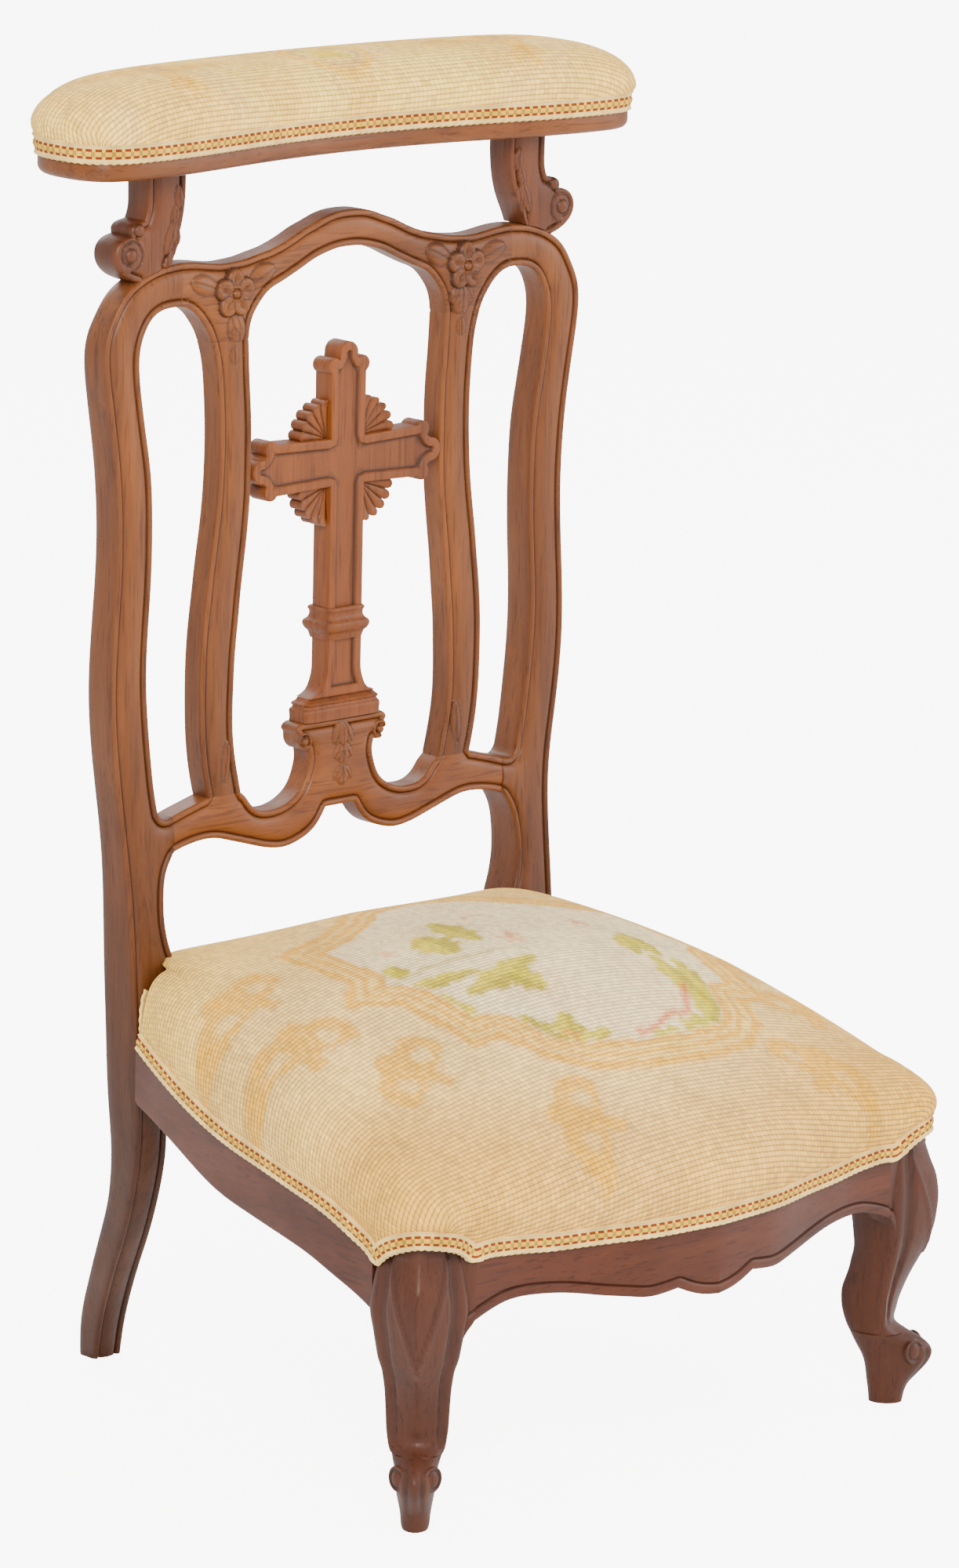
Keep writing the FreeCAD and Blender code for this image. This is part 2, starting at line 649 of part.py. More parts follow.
def side_rail(name, side):
    """Deep plain rail, bowed in plan, whose lower edge climbs to the back in a long serpentine."""
    thick = size("rail_thick") - 2.0
    inner = [(x - thick, y) for x, y in SIDE_FACE]
    plan = joined(flipped(SIDE_FACE, side), flipped(inner[-1:], side), flipped(inner[-2::-1], side))
    bow = column(name + "_plan", plan, 100, 200)
    top = [(y, seat_plane_z(y) + 1.0) for y in (STILE_FRONT_Y, LEG_BACK_Y)]
    elevation = joined(SIDE_UNDERSIDE, top[:1], top[1:])
    face = slab(name + "_elevation", elevation, 120, side * 210)
    mouth = [(x - REBATE_FROM, y) for x, y in SIDE_FACE]
    throat = [(x - thick - 1, y) for x, y in SIDE_FACE]
    inner_part = column(name + "_rebate_plan", joined(flipped(mouth, side), flipped(throat[-1:], side),
                                                      flipped(throat[-2::-1], side)), 100, 200)
    under = [(y, z + REBATE_HIGH) for y, z in SIDE_UNDERSIDE[1:-2]]
    band = slab(name + "_rebate_band", joined(under, [(under[-1][0], 110.0)], [(under[0][0], 110.0)]), 120, side * 205)
    rebate = common(name + "_rebate", inner_part, band)
    index = (side + 1) // 2
    keep(name, cut(name, common(name + "_blank", bow, face),
                   [rebate] + side_rail_dowels[index::2] + webbing_tack_sets["side"][index::2]))


def rear_rail():
    rail = doc.addObject("Part::Box", "rear_rail_blank")
    rail.setExpression("Length", "Sizes.rear_rail_half * 2")
    rail.Width = 24
    rail.setExpression("Height", "Sizes.rear_rail_high")
    rail.setExpression("Placement.Base.x", "-Sizes.rear_rail_half")
    rail.Placement.Base.y = -11
    rail.setExpression("Placement.Base.z", "Sizes.rear_rail_low")
    keep("rear_rail", cut("rear_rail", rail, rear_rail_dowels + webbing_tack_sets["rear"]))


# ---------------------------------------------------------------- front legs

SOLE_X = 215.5
SOLE_Y = -321.7
# (height, lean of the middle out along the diagonal, half the side, corner radius)
SHANK = [
    (0.0, -1.5, 9.4, 8.6), (14.0, -1.0, 10.6, 8.6), (27.0, -3.0, 13.2, 7.6), (41.0, -8.0, 14.2, 6.0),
    (56.0, -13.4, 13.4, 4.0), (66.0, -14.6, 13.6, 3.4), (78.0, -13.0, 14.6, 3.2), (92.0, -8.4, 15.6, 3.2),
    (105.0, -3.4, 17.2, 3.2), (119.0, -0.4, 19.0, 3.2), (131.0, 0.6, 20.6, 3.2),
]
# (height, outer X, front Y, corner radius) above the rail joints
KNEE = [
    (142.0, 236.8, -343.6, 3.4), (156.0, 236.2, -344.4, 5.0), (170.0, 234.6, -344.6, 9.0),
    (184.0, 232.6, -344.6, 14.0), (197.0, 231.0, -344.6, 18.0),
]
SCROLL_RADIUS = 15.6
SCROLL_OUT = 9.5
SCROLL_HEIGHT = 37.5
SCROLL_WIDTH = 34.0


def rounded_section(sketch, left, right, front, back, radius):
    """A rectangle with rounded corners in plan."""
    corners = [(right - radius, front + radius, -90), (right - radius, back - radius, 0),
               (left + radius, back - radius, 90), (left + radius, front + radius, 180)]
    ends = []
    for u, v, start in corners:
        arc = Part.ArcOfCircle(
            Part.Circle(Vector(u, v, 0), Vector(0, 0, 1), radius), math.radians(start), math.radians(start + 90)
        )
        sketch.addGeometry(arc, False)
        ends.append((arc.StartPoint, arc.EndPoint))
    for here, after in zip(ends, ends[1:] + ends[:1]):
        sketch.addGeometry(Part.LineSegment(here[1], after[0]), False)


def front_leg(name, side):
    """Cabriole leg set on the diagonal, its toe a scroll on a small turned pad."""
    body = new_body(name + "_shank")
    sections = []
    reach = math.sqrt(0.5)
    for index, (height, lean, half, radius) in enumerate(SHANK):
        middle_x = SOLE_X + lean * reach
        middle_y = SOLE_Y - lean * reach
        ring = sketch_on(body, "XY_Plane", f"{name}_shank_{index}", height)
        span = sorted((side * (middle_x - half), side * (middle_x + half)))
        rounded_section(ring, span[0], span[1], middle_y - half, middle_y + half, radius)
        sections.append(ring)
    for index, (height, outer, front, radius) in enumerate(KNEE):
        ring = sketch_on(body, "XY_Plane", f"{name}_knee_{index}", height)
        span = sorted((side * LEG_FRONT_X, side * outer))
        rounded_section(ring, span[0], span[1], front, LEG_BACK_Y, min(radius, 3.4))
        sections.append(ring)
    loft = body.newObject("PartDesign::AdditiveLoft", name + "_loft")
    loft.Profile = sections[0]
    loft.Sections = sections[1:]
    loft.Ruled = False

    scroll = doc.addObject("Part::Cylinder", name + "_scroll")
    scroll.Radius = SCROLL_RADIUS
    scroll.Height = SCROLL_WIDTH
    across = Vector(side, 1, 0).normalize()
    middle = Vector(side * (SOLE_X + SCROLL_OUT * reach), SOLE_Y - SCROLL_OUT * reach, SCROLL_HEIGHT)
    scroll.Placement = Placement(middle - across * (SCROLL_WIDTH / 2), Rotation(Vector(0, 0, 1), across))
    whole = doc.addObject("Part::MultiFuse", name + "_blank")
    whole.Shapes = [body, scroll]
    index = (side + 1) // 2
    keep(name, cut(name, whole, front_rail_dowels[index::2] + side_rail_dowels[index:4:2]))


# ---------------------------------------------------------------- glue blocks, webbing and springs

BLOCK_LOW = 150.0
BLOCK_HIGH = 26.0


def glue_blocks():
    """Triangular blocks glued into the corners of the seat frame."""
    inner_front = -344.6 + size("rail_thick") + 0.4
    corners = [
        ((LEG_FRONT_X, inner_front), (LEG_FRONT_X - 30, inner_front - 0.4), (LEG_FRONT_X, LEG_BACK_Y), BLOCK_LOW),
        ((211.0, LEG_BACK_Y), (LEG_FRONT_X, LEG_BACK_Y), (209.0, LEG_BACK_Y + 19), BLOCK_LOW + 6),
        ((165.8, STILE_FRONT_Y), (150.6, STILE_FRONT_Y), (172.0, STILE_FRONT_Y - 32), 214.0),
    ]
    blocks = []
    for side in (-1, 1):
        for index, (corner, first, second, low) in enumerate(corners):
            outline = [flipped([a, b], side) for a, b in ((corner, first), (first, second), (second, corner))]
            blocks.append(column(f"glue_block_{index}_{side + 1}", outline, low, BLOCK_HIGH))
    keep("glue_blocks", group("glue_blocks", blocks))


def strap_profile(y_front, z_front, y_back, z_back, flat, thick):
    """Side outline of a lengthwise strap: flat under each rail and straight between them."""
    upper = [(y_front, z_front), (y_front + flat, z_front), (y_back - flat, z_back), (y_back, z_back)]
    lower = [(y, z - thick) for y, z in upper]
    return joined(upper[:2], upper[2:3], upper[3:], *[[point] for point in lower[::-1]])


STRAP_GAP = 0.3
LENGTHWISE_X = (-92.0, 0.0, 92.0)
CROSSWISE_Y = (-250.0, -165.0, -80.0)
TACK_SHANK = 10.0


def side_under_z(y):
    """Underside of a side rail at y, straight between the drawn points."""
    for (y0, z0), (y1, z1) in zip(SIDE_UNDERSIDE, SIDE_UNDERSIDE[1:]):
        if y0 <= y <= y1:
            return z0 + (z1 - z0) * (y - y0) / (y1 - y0)
    return SIDE_UNDERSIDE[-1][1]


def tack(label, x, y, z):
    """A cut tack driven up through a strap: a flat head below and a shank into the rail."""
    head = doc.addObject("Part::Cylinder", label + "_head")
    head.Radius = 3.6
    head.Height = 0.9
    head.Placement.Base = Vector(x, y, z - 0.9)
    shank = doc.addObject("Part::Cylinder", label + "_shank")
    shank.Radius = 1.0
    shank.Height = TACK_SHANK
    shank.Placement.Base = Vector(x, y, z)
    whole = doc.addObject("Part::Fuse", label)
    whole.Base = head
    whole.Tool = shank
    return whole


def side_face_x(y):
    """Outer face of a side rail at y, straight between the drawn points."""
    for (x0, y0), (x1, y1) in zip(SIDE_FACE, SIDE_FACE[1:]):
        if y0 <= y <= y1:
            return x0 + (x1 - x0) * (y - y0) / (y1 - y0)
    return SIDE_FACE[-1][0]


webbing_tack_sets = {"front": [], "rear": [], "side": []}


def make_tacks():
    thick = size("strap_thick")
    for number, x in enumerate(LENGTHWISE_X):
        for step in (-14, 14):
            front_z = REBATE_TOP - STRAP_GAP - thick
            rear_z = size("rear_rail_low") - STRAP_GAP - thick
            front_y = -354.0 if x == 0 else -339.0
            webbing_tack_sets["front"].append(tack(f"tack_front_{number}_{step + 14}", x + step, front_y, front_z))
            webbing_tack_sets["rear"].append(tack(f"tack_rear_{number}_{step + 14}", x + step, 2.0, rear_z))
    for number, y in enumerate(CROSSWISE_Y):
        for step in (-12, 12):
            for side in (-1, 1):
                z = crosswise_z(y, step) - thick
                x = side * (side_face_x(y + step) - 17)
                webbing_tack_sets["side"].append(tack(f"tack_side_{number}_{step + 12}_{side + 1}", x, y + step, z))


def crosswise_z(y, step):
    """Top of a crosswise strap: a straight strip just under the side rails' curved rebate."""
    half = size("strap_wide") / 2
    low = side_under_z(y - half)
    high = side_under_z(y + half)
    return low + (high - low) * (step + half) / (2 * half) + REBATE_HIGH - 2.4


def webbing():
    thick = size("strap_thick")
    half = size("strap_wide") / 2
    lengthwise = []
    for number, x in enumerate(LENGTHWISE_X):
        y_front = -360.0 if x == 0 else -341.0
        outline = strap_profile(y_front, REBATE_TOP - STRAP_GAP, 10.0, size("rear_rail_low") - STRAP_GAP, 14.0, thick)
        strap = slab(f"strap_lengthwise_{number}", outline, 2 * half, x)
        tacks = webbing_tack_sets["front"][2 * number:2 * number + 2]
        tacks += webbing_tack_sets["rear"][2 * number:2 * number + 2]
        lengthwise.append(cut(f"strap_lengthwise_cut_{number}", strap, tacks))
    keep("webbing_lengthwise", group("webbing_lengthwise", lengthwise))
    crosswise = []
    for number, y in enumerate(CROSSWISE_Y):
        ends = [(y - half, crosswise_z(y, -half)), (y + half, crosswise_z(y, half))]
        outline = joined(ends, [(ends[1][0], ends[1][1] - thick)], [(ends[0][0], ends[0][1] - thick)])
        strap = slab(f"strap_crosswise_{number}", outline, 2 * (side_face_x(y + half) - REBATE_FROM - 0.5), 0.0)
        crosswise.append(cut(f"strap_crosswise_cut_{number}", strap,
                             webbing_tack_sets["side"][4 * number:4 * number + 4]))
    keep("webbing_crosswise", group("webbing_crosswise", crosswise))
    every = webbing_tack_sets["front"] + webbing_tack_sets["rear"] + webbing_tack_sets["side"]
    keep("webbing_tacks", group("webbing_tacks", every))


# ---------------------------------------------------------------- sprung and stuffed seat

SEAT_FRONT = [(0, -369), (60, -363), (105, -351), (150, -343.5), (200, -341)]
SEAT_CORNER = [(217, -338), (229, -329), (233.5, -314)]
SEAT_SIDE = [(230, -270), (221, -200), (208, -126), (192, -50)]
SEAT_BACK = [(186, -30), (176, -20), (164, -17)]
SEAT_MIDDLE = (-190.0, 234.0, 176.0)


def seat_runs(shrink):
    """The seat's closed plan outline, drawn in by shrink, in level plan."""
    middle_y, reach_x, reach_y = SEAT_MIDDLE
    wide = 1 - shrink / reach_x
    deep = 1 - shrink / reach_y
    right = [SEAT_FRONT, SEAT_FRONT[-1:] + SEAT_CORNER, SEAT_CORNER[-1:] + SEAT_SIDE, SEAT_SIDE[-1:] + SEAT_BACK]
    right = [[(x * wide, middle_y + (y - middle_y) * deep) for x, y in run] for run in right]
    front = flipped(right[0][1:])[::-1] + right[0]
    back = [right[3][-1], flipped(right[3][-1:])[0]]
    return [front] + right[1:] + [back] + [flipped(run)[::-1] for run in right[:0:-1]]


def seat_loft(label, rings):
    """A pad on the sloping plane of the seat: rings are (height off the plane, how far drawn in)."""
    body = new_body(label)
    tilt = Rotation(Vector(1, 0, 0), math.degrees(SEAT_SLOPE))
    sketches = []
    for index, (height, shrink) in enumerate(rings):
        ring = sketch_on(body, "XY_Plane", f"{label}_ring_{index}")
        base = Vector(0, SEAT_FRONT_Y - height * math.sin(SEAT_SLOPE), SEAT_FRONT_Z + height * math.cos(SEAT_SLOPE))
        ring.AttachmentOffset = Placement(base, tilt)
        upright = height * math.tan(SEAT_SLOPE)
        runs = [
            [(u, (v - SEAT_FRONT_Y) / math.cos(SEAT_SLOPE) + upright) for u, v in run] for run in seat_runs(shrink)
        ]
        draw(ring, runs)
        sketches.append(ring)
    loft = body.newObject("PartDesign::AdditiveLoft", label + "_loft")
    loft.Profile = sketches[0]
    loft.Sections = sketches[1:]
    return body


SEAT_RINGS = [(2.0, 2.0), (22.0, 0.0), (38.0, 8.0), (50.0, 22.0), (60.0, 46.0), (66.0, 80.0)]
SPRINGS_AT = [(-78.0, -268.0), (78.0, -268.0), (0.0, -196.0), (-70.0, -122.0), (70.0, -122.0)]


WIRE_SIDES = 8


def springs():
    """Open coil springs standing on the webbing: eight-sided wire bent to a helix."""
    radius = size("spring_radius")
    wire_radius = size("spring_wire")
    pitch = size("spring_pitch")
    height = pitch * size("spring_turns")
    coils = []
    for index, (x, y) in enumerate(SPRINGS_AT):
        path = Part.makeHelix(pitch, height, radius)
        corners = [math.tau * (k + 0.5) / WIRE_SIDES for k in range(WIRE_SIDES + 1)]
        section = Part.makePolygon([
            Vector(radius + wire_radius * math.cos(a), 0, wire_radius * math.sin(a)) for a in corners
        ])
        coil = Part.Wire(path.Edges).makePipeShell([section], True, True)
        top = seat_plane_z(y - radius) - 4.0
        feature = doc.addObject("Part::Feature", f"seat_spring_{index}")
        feature.Shape = coil
        feature.Placement = Placement(Vector(x, y, top - height - wire_radius), Rotation())
        coils.append(feature)
    keep("seat_springs", group("seat_springs", coils))


def seat_upholstery():
    cover = size("cover_thick")
    keep("spring_canvas", seat_loft("spring_canvas", [(0.2, 26.0), (1.6, 26.0)]))
    keep("seat_stuffing", seat_loft("seat_stuffing", SEAT_RINGS))
    outer = seat_loft("seat_cover_outside", grown(SEAT_RINGS, cover))
    inside = seat_loft("seat_cover_inside", SEAT_RINGS)
    keep("seat_cover", cut("seat_cover", outer, [inside]))


def seat_gimp():
    """Braid along the top edge of the front rail, each side rail and each knee."""
    thick = size("gimp_thick")
    wide = size("gimp_wide")
    outside = [(x, y - thick) for x, y in FRONT_FACE]
    low = size("rail_top") - wide
    strips = [column("gimp_front", both_sides(outside, FRONT_FACE[-1:], FRONT_FACE[-2::-1]), low, wide)]
    for side in (-1, 1):
        outer = [(x + thick, y) for x, y in SIDE_FACE]
        plan = joined(flipped(SIDE_FACE, side), flipped(outer[-1:], side), flipped(outer[-2::-1], side))
        strip = column(f"gimp_side_plan_{side + 1}", plan, 150, 140)
        top = [(y, z + wide) for y, z in SIDE_BRAID]
        band = slab(f"gimp_side_band_{side + 1}", joined(SIDE_BRAID, top[-1:], top[-2::-1]), 120, side * 215)
        strips.append(common(f"gimp_side_{side + 1}", strip, band))
    keep("seat_gimp", group("seat_gimp", strips))


# ---------------------------------------------------------------- build every piece

make_tacks()
for label, sign in (("left", -1), ("right", 1)):
    rear_leg("rear_leg_" + label, sign)
    splat("splat_" + label, sign)
    arm_post("arm_post_" + label, sign)
    side_rail("side_rail_" + label, sign)
    front_leg("front_leg_" + label, sign)
crest_rail()
lower_rail()
cross()
cross_rays()
collar_and_plinth()
arm_rest()
front_rail()
rear_rail()
glue_blocks()
webbing()
springs()
seat_upholstery()
seat_gimp()
keep("crest_dowels", group("crest_dowels", crest_dowels))
keep("splat_dowels", group("splat_dowels", splat_dowels))
keep("lower_rail_dowels", group("lower_rail_dowels", lower_rail_dowels))
keep("post_dowels", group("post_dowels", post_dowels))
keep("cross_dowels", group("cross_dowels", cross_dowels))
keep("front_rail_dowels", group("front_rail_dowels", front_rail_dowels))
keep("side_rail_dowels", group("side_rail_dowels", side_rail_dowels))
keep("rear_rail_dowels", group("rear_rail_dowels", rear_rail_dowels))
doc.recompute()

# ---------------------------------------------------------------- check and write

failed = [thing.Name for thing in doc.Objects if {"Invalid", "Error"} & set(thing.State)]
if failed:
    raise RuntimeError("failed features: " + ", ".join(failed))
for name, piece in nodes.items():
    if piece.Shape.isNull() or not piece.Shape.isValid():
        raise RuntimeError("bad shape: " + name)
    if not piece.Shape.Solids:
        raise RuntimeError("no solid: " + name)

os.makedirs("parts", exist_ok=True)
for name, piece in nodes.items():
    piece.Shape.exportStep(f"parts/{name}.step")

whole = FreeCAD.BoundBox()
for name, piece in nodes.items():
    whole.add(piece.Shape.BoundBox)
    print(f"{name:22s} solids {len(piece.Shape.Solids):3d} volume {piece.Shape.Volume / 1000:9.2f} cm3")
print("box", whole)
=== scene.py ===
import math

import bmesh
import bpy
import numpy as np
from mathutils import Matrix, Vector
from mathutils.geometry import delaunay_2d_cdt


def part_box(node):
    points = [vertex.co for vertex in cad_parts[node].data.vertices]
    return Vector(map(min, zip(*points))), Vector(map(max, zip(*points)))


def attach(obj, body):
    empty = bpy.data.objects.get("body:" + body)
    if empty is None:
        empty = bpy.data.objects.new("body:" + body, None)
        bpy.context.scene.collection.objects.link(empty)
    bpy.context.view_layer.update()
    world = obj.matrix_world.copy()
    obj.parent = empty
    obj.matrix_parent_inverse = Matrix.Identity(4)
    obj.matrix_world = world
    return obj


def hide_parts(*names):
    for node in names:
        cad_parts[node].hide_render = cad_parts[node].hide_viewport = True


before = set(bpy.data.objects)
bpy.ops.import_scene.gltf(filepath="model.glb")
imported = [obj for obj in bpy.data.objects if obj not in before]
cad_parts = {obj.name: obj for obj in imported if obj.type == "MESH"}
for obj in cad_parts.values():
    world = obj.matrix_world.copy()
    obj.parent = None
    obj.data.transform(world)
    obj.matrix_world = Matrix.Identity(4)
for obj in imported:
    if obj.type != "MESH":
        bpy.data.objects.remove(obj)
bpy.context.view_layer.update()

MM = 0.001
BACK_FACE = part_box("crest_rail")[0].y / MM      # front face of the back frame, in the row frame


def near_box(node):
    """Corners of a CAD node in design millimetres, measured back from the front face of the back frame."""
    low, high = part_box(node)
    shift = Vector((0, BACK_FACE, 0))
    return low / MM - shift, high / MM - shift


# ------------------------------------------------------------------ curves

def smoothstep(x):
    x = np.clip(x, 0, 1)
    return x * x * (3 - 2 * x)


def bell(x, wide):
    """1 at x = 0, falling away to nothing over a few times wide."""
    return np.exp(-(x / wide) ** 2)


def run_of(points):
    """How far along a polyline each of its points is."""
    return np.r_[0, np.cumsum(np.linalg.norm(np.diff(points, axis=0), axis=1))]


def spline(points, step=1.5):
    """A natural cubic spline through the points, sampled about every step millimetres; two points stay straight."""
    p = np.array(points, float)
    chord = run_of(p)
    count = max(2, int(round(chord[-1] / step)) + 1)
    at = np.linspace(0, chord[-1], count)
    if len(p) == 2:
        return p[0] + (p[1] - p[0]) * (at / chord[-1])[:, None]
    n = len(p)
    h = np.diff(chord)
    system = np.eye(n)
    right = np.zeros((n, p.shape[1]))
    for i in range(1, n - 1):
        system[i, i - 1] = h[i - 1]
        system[i, i] = 2 * (h[i - 1] + h[i])
        system[i, i + 1] = h[i]
        right[i] = 6 * ((p[i + 1] - p[i]) / h[i] - (p[i] - p[i - 1]) / h[i - 1])
    bend = np.linalg.solve(system, right)
    k = np.clip(np.searchsorted(chord, at, side="right") - 1, 0, n - 2)
    a = ((chord[k + 1] - at) / h[k])[:, None]
    b = ((at - chord[k]) / h[k])[:, None]
    hk = h[k][:, None]
    return a * p[k] + b * p[k + 1] + ((a ** 3 - a) * bend[k] + (b ** 3 - b) * bend[k + 1]) * hk ** 2 / 6


def table(rows):
    """A smooth function through (x, value) rows."""
    curve = spline(sorted(rows), 0.8)
    return lambda x: np.interp(x, curve[:, 0], curve[:, 1])


def mirror(points):
    return [(-u, v) for u, v in points]


def closed_loop(runs, step=1.5):
    """Runs (points, moulded or not) that follow on, as one closed polyline with a flag for each of its edges."""
    line, flags = [], []
    for points, moulded in runs:
        part = spline(points, step)
        line.extend(part[:-1])
        flags.extend([moulded] * (len(part) - 1))
    return np.array(line), np.array(flags, bool)


def symmetric(right_runs):
    """Right-hand runs from the middle of the top round to the middle of the bottom, joined to their mirror image."""
    left = [(mirror(points)[::-1], moulded) for points, moulded in reversed(right_runs)]
    return right_runs + left


def segments(line, flags):
    """The moulded edges of a closed polyline, as start and end points."""
    after = np.roll(line, -1, axis=0)
    return line[flags], after[flags]


def distance(points, starts, ends):
    """Distance from each point to the nearest of the segments."""
    out = np.full(len(points), 1e9)
    if len(starts) == 0:
        return out
    along = ends - starts
    length2 = np.maximum((along ** 2).sum(1), 1e-12)
    for first in range(0, len(points), 2000):
        p = points[first:first + 2000, None, :]
        t = np.clip(((p - starts) * along).sum(2) / length2, 0, 1)
        near = starts + t[..., None] * along
        out[first:first + 2000] = np.sqrt(((p - near) ** 2).sum(2)).min(1)
    return out


def inside(points, line):
    """Which points lie inside a closed polyline."""
    x, z = points[:, 0], points[:, 1]
    result = np.zeros(len(points), bool)
    for (x0, z0), (x1, z1) in zip(line, np.roll(line, -1, axis=0)):
        if z0 == z1:
            continue
        crosses = (z0 > z) != (z1 > z)
        result ^= crosses & (x < (x1 - x0) * (z - z0) / (z1 - z0) + x0)
    return result


def area_of(line):
    """Twice the area of a closed polyline, positive when it runs anticlockwise."""
    return np.sum(line[:, 0] * np.roll(line[:, 1], -1) - np.roll(line[:, 0], -1) * line[:, 1])


def outward(line):
    """Unit normals of a closed polyline, away from its inside."""
    tangent = np.roll(line, -1, axis=0) - np.roll(line, 1, axis=0)
    tangent /= np.linalg.norm(tangent, axis=1)[:, None]
    return np.c_[tangent[:, 1], -tangent[:, 0]] * (1 if area_of(line) > 0 else -1)


def lattice(low, high, spacing):
    """Points of a square grid between two corners."""
    u, v = np.meshgrid(np.arange(low[0], high[0], spacing), np.arange(low[1], high[1], spacing))
    return np.c_[u.ravel(), v.ravel()]


# ------------------------------------------------------------------ meshes

def mesh_object(name, verts, faces, angle=38.0, tones=None, colors=None, uvs=None):
    """A mesh from design-frame millimetres; tones is a per-vertex darkening from 0 to 1, mostly painted shade in
    grooves and hollows.
    """
    co = np.array(verts, float) * MM
    co[:, 1] += BACK_FACE * MM
    mesh = bpy.data.meshes.new(name)
    mesh.from_pydata(co.tolist(), [], faces)
    mesh.validate()
    mesh.update()
    mesh.polygons.foreach_set("use_smooth", [True] * len(mesh.polygons))
    mesh.set_sharp_from_angle(angle=math.radians(angle))
    for layer_name, shades in (("tone", tones), ("stitch", colors)):
        if shades is not None:
            layer = mesh.color_attributes.new(layer_name, "FLOAT_COLOR", "POINT")
            values = np.ones((len(co), 4))
            values[:, :3] = np.clip(shades, 0, 1).reshape(len(co), -1)
            layer.data.foreach_set("color", values.ravel())
    if uvs is not None:
        layer = mesh.uv_layers.new(name="weave")
        loops = np.zeros(len(mesh.loops), int)
        mesh.loops.foreach_get("vertex_index", loops)
        layer.data.foreach_set("uv", np.array(uvs, float)[loops].ravel())
    piece = bpy.data.objects.new(name, mesh)
    bpy.context.scene.collection.objects.link(piece)
    return piece


def finish(piece, material, slot_name, *nodes):
    piece.data.materials.clear()
    piece.data.materials.append(material)
    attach(piece, "root")
    if nodes:
        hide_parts(*nodes)
    return piece


def quads(rows, wide, closed=False, base=0):
    """Faces of a grid of so many rows of wide points each; a closed grid is joined up into a ring."""
    return [[base + j * wide + k, base + j * wide + (k + 1) % wide,
             base + (j + 1) * wide + (k + 1) % wide, base + (j + 1) * wide + k]
            for j in range(rows - 1) for k in range(wide if closed else wide - 1)]


def tube(rows, wide, base=0):
    """Faces of a stack of rings, with its two ends closed."""
    last = base + (rows - 1) * wide
    return quads(rows, wide, True, base) + [[base + k for k in range(wide)][::-1], [last + k for k in range(wide)]]


def straighten(piece):
    """Consistent outward faces."""
    work = bmesh.new()
    work.from_mesh(piece.data)
    bmesh.ops.recalc_face_normals(work, faces=work.faces)
    work.to_mesh(piece.data)
    work.free()
    return piece


def triangulate(line, interior):
    """Points and triangles over a closed outline, its own points first."""
    points = [Vector(p) for p in np.vstack([line, interior])]
    co, _, triangles, _, _, _ = delaunay_2d_cdt(points, [], [list(range(len(line)))], 1, 1e-5)
    return np.array([(v.x, v.y) for v in co]), triangles


# distances in from an outline at which the mesh over a bead needs points
BEAD_ROWS = (0.3, 0.8, 1.5, 2.3, 3.1, 3.8, 4.3, 4.7, 5.1, 5.8, 7.2, 9.2, 12.0)
PLAIN_ROWS = (0.3, 0.9, 1.7, 2.6, 5.0)
BEAD = 2.3          # radius of the bead round the back frame
QUIRK = 4.7         # and how far in its quirk lies


def bead_profile(d):
    """Depth below the face: a round bead along the edge, a quirk, then a gently rounded field."""
    bead = 2.2 - np.sqrt(np.maximum(0.0, BEAD ** 2 - (np.clip(d, 0, 2 * BEAD) - BEAD) ** 2))
    past = np.maximum(d - QUIRK, 0)
    field = 2.5 * np.exp(-past / 1.5) - 0.9 * (1 - np.exp(-past / 6.0))
    blend = np.clip((d - 4.3) / 0.6, 0, 1)
    return np.where(d < 4.3, bead, bead * (1 - blend) + field * blend)


# painted shade in the quirk, and a little along the bead's edge
def bead_tone(d):
    return 0.50 * bell(d - QUIRK, 0.7) + 0.12 * bell(d, 0.7)


def plain_profile(radius=2.5):
    """Depth below the face: no more than a rounded edge."""
    def depth(d):
        c = np.clip(d, 0, radius)
        return radius - np.sqrt(np.maximum(0, radius ** 2 - (radius - c) ** 2))
    return depth


def at_depth(depth):
    """A flat face at this depth."""
    return lambda u, v: depth + 0 * u


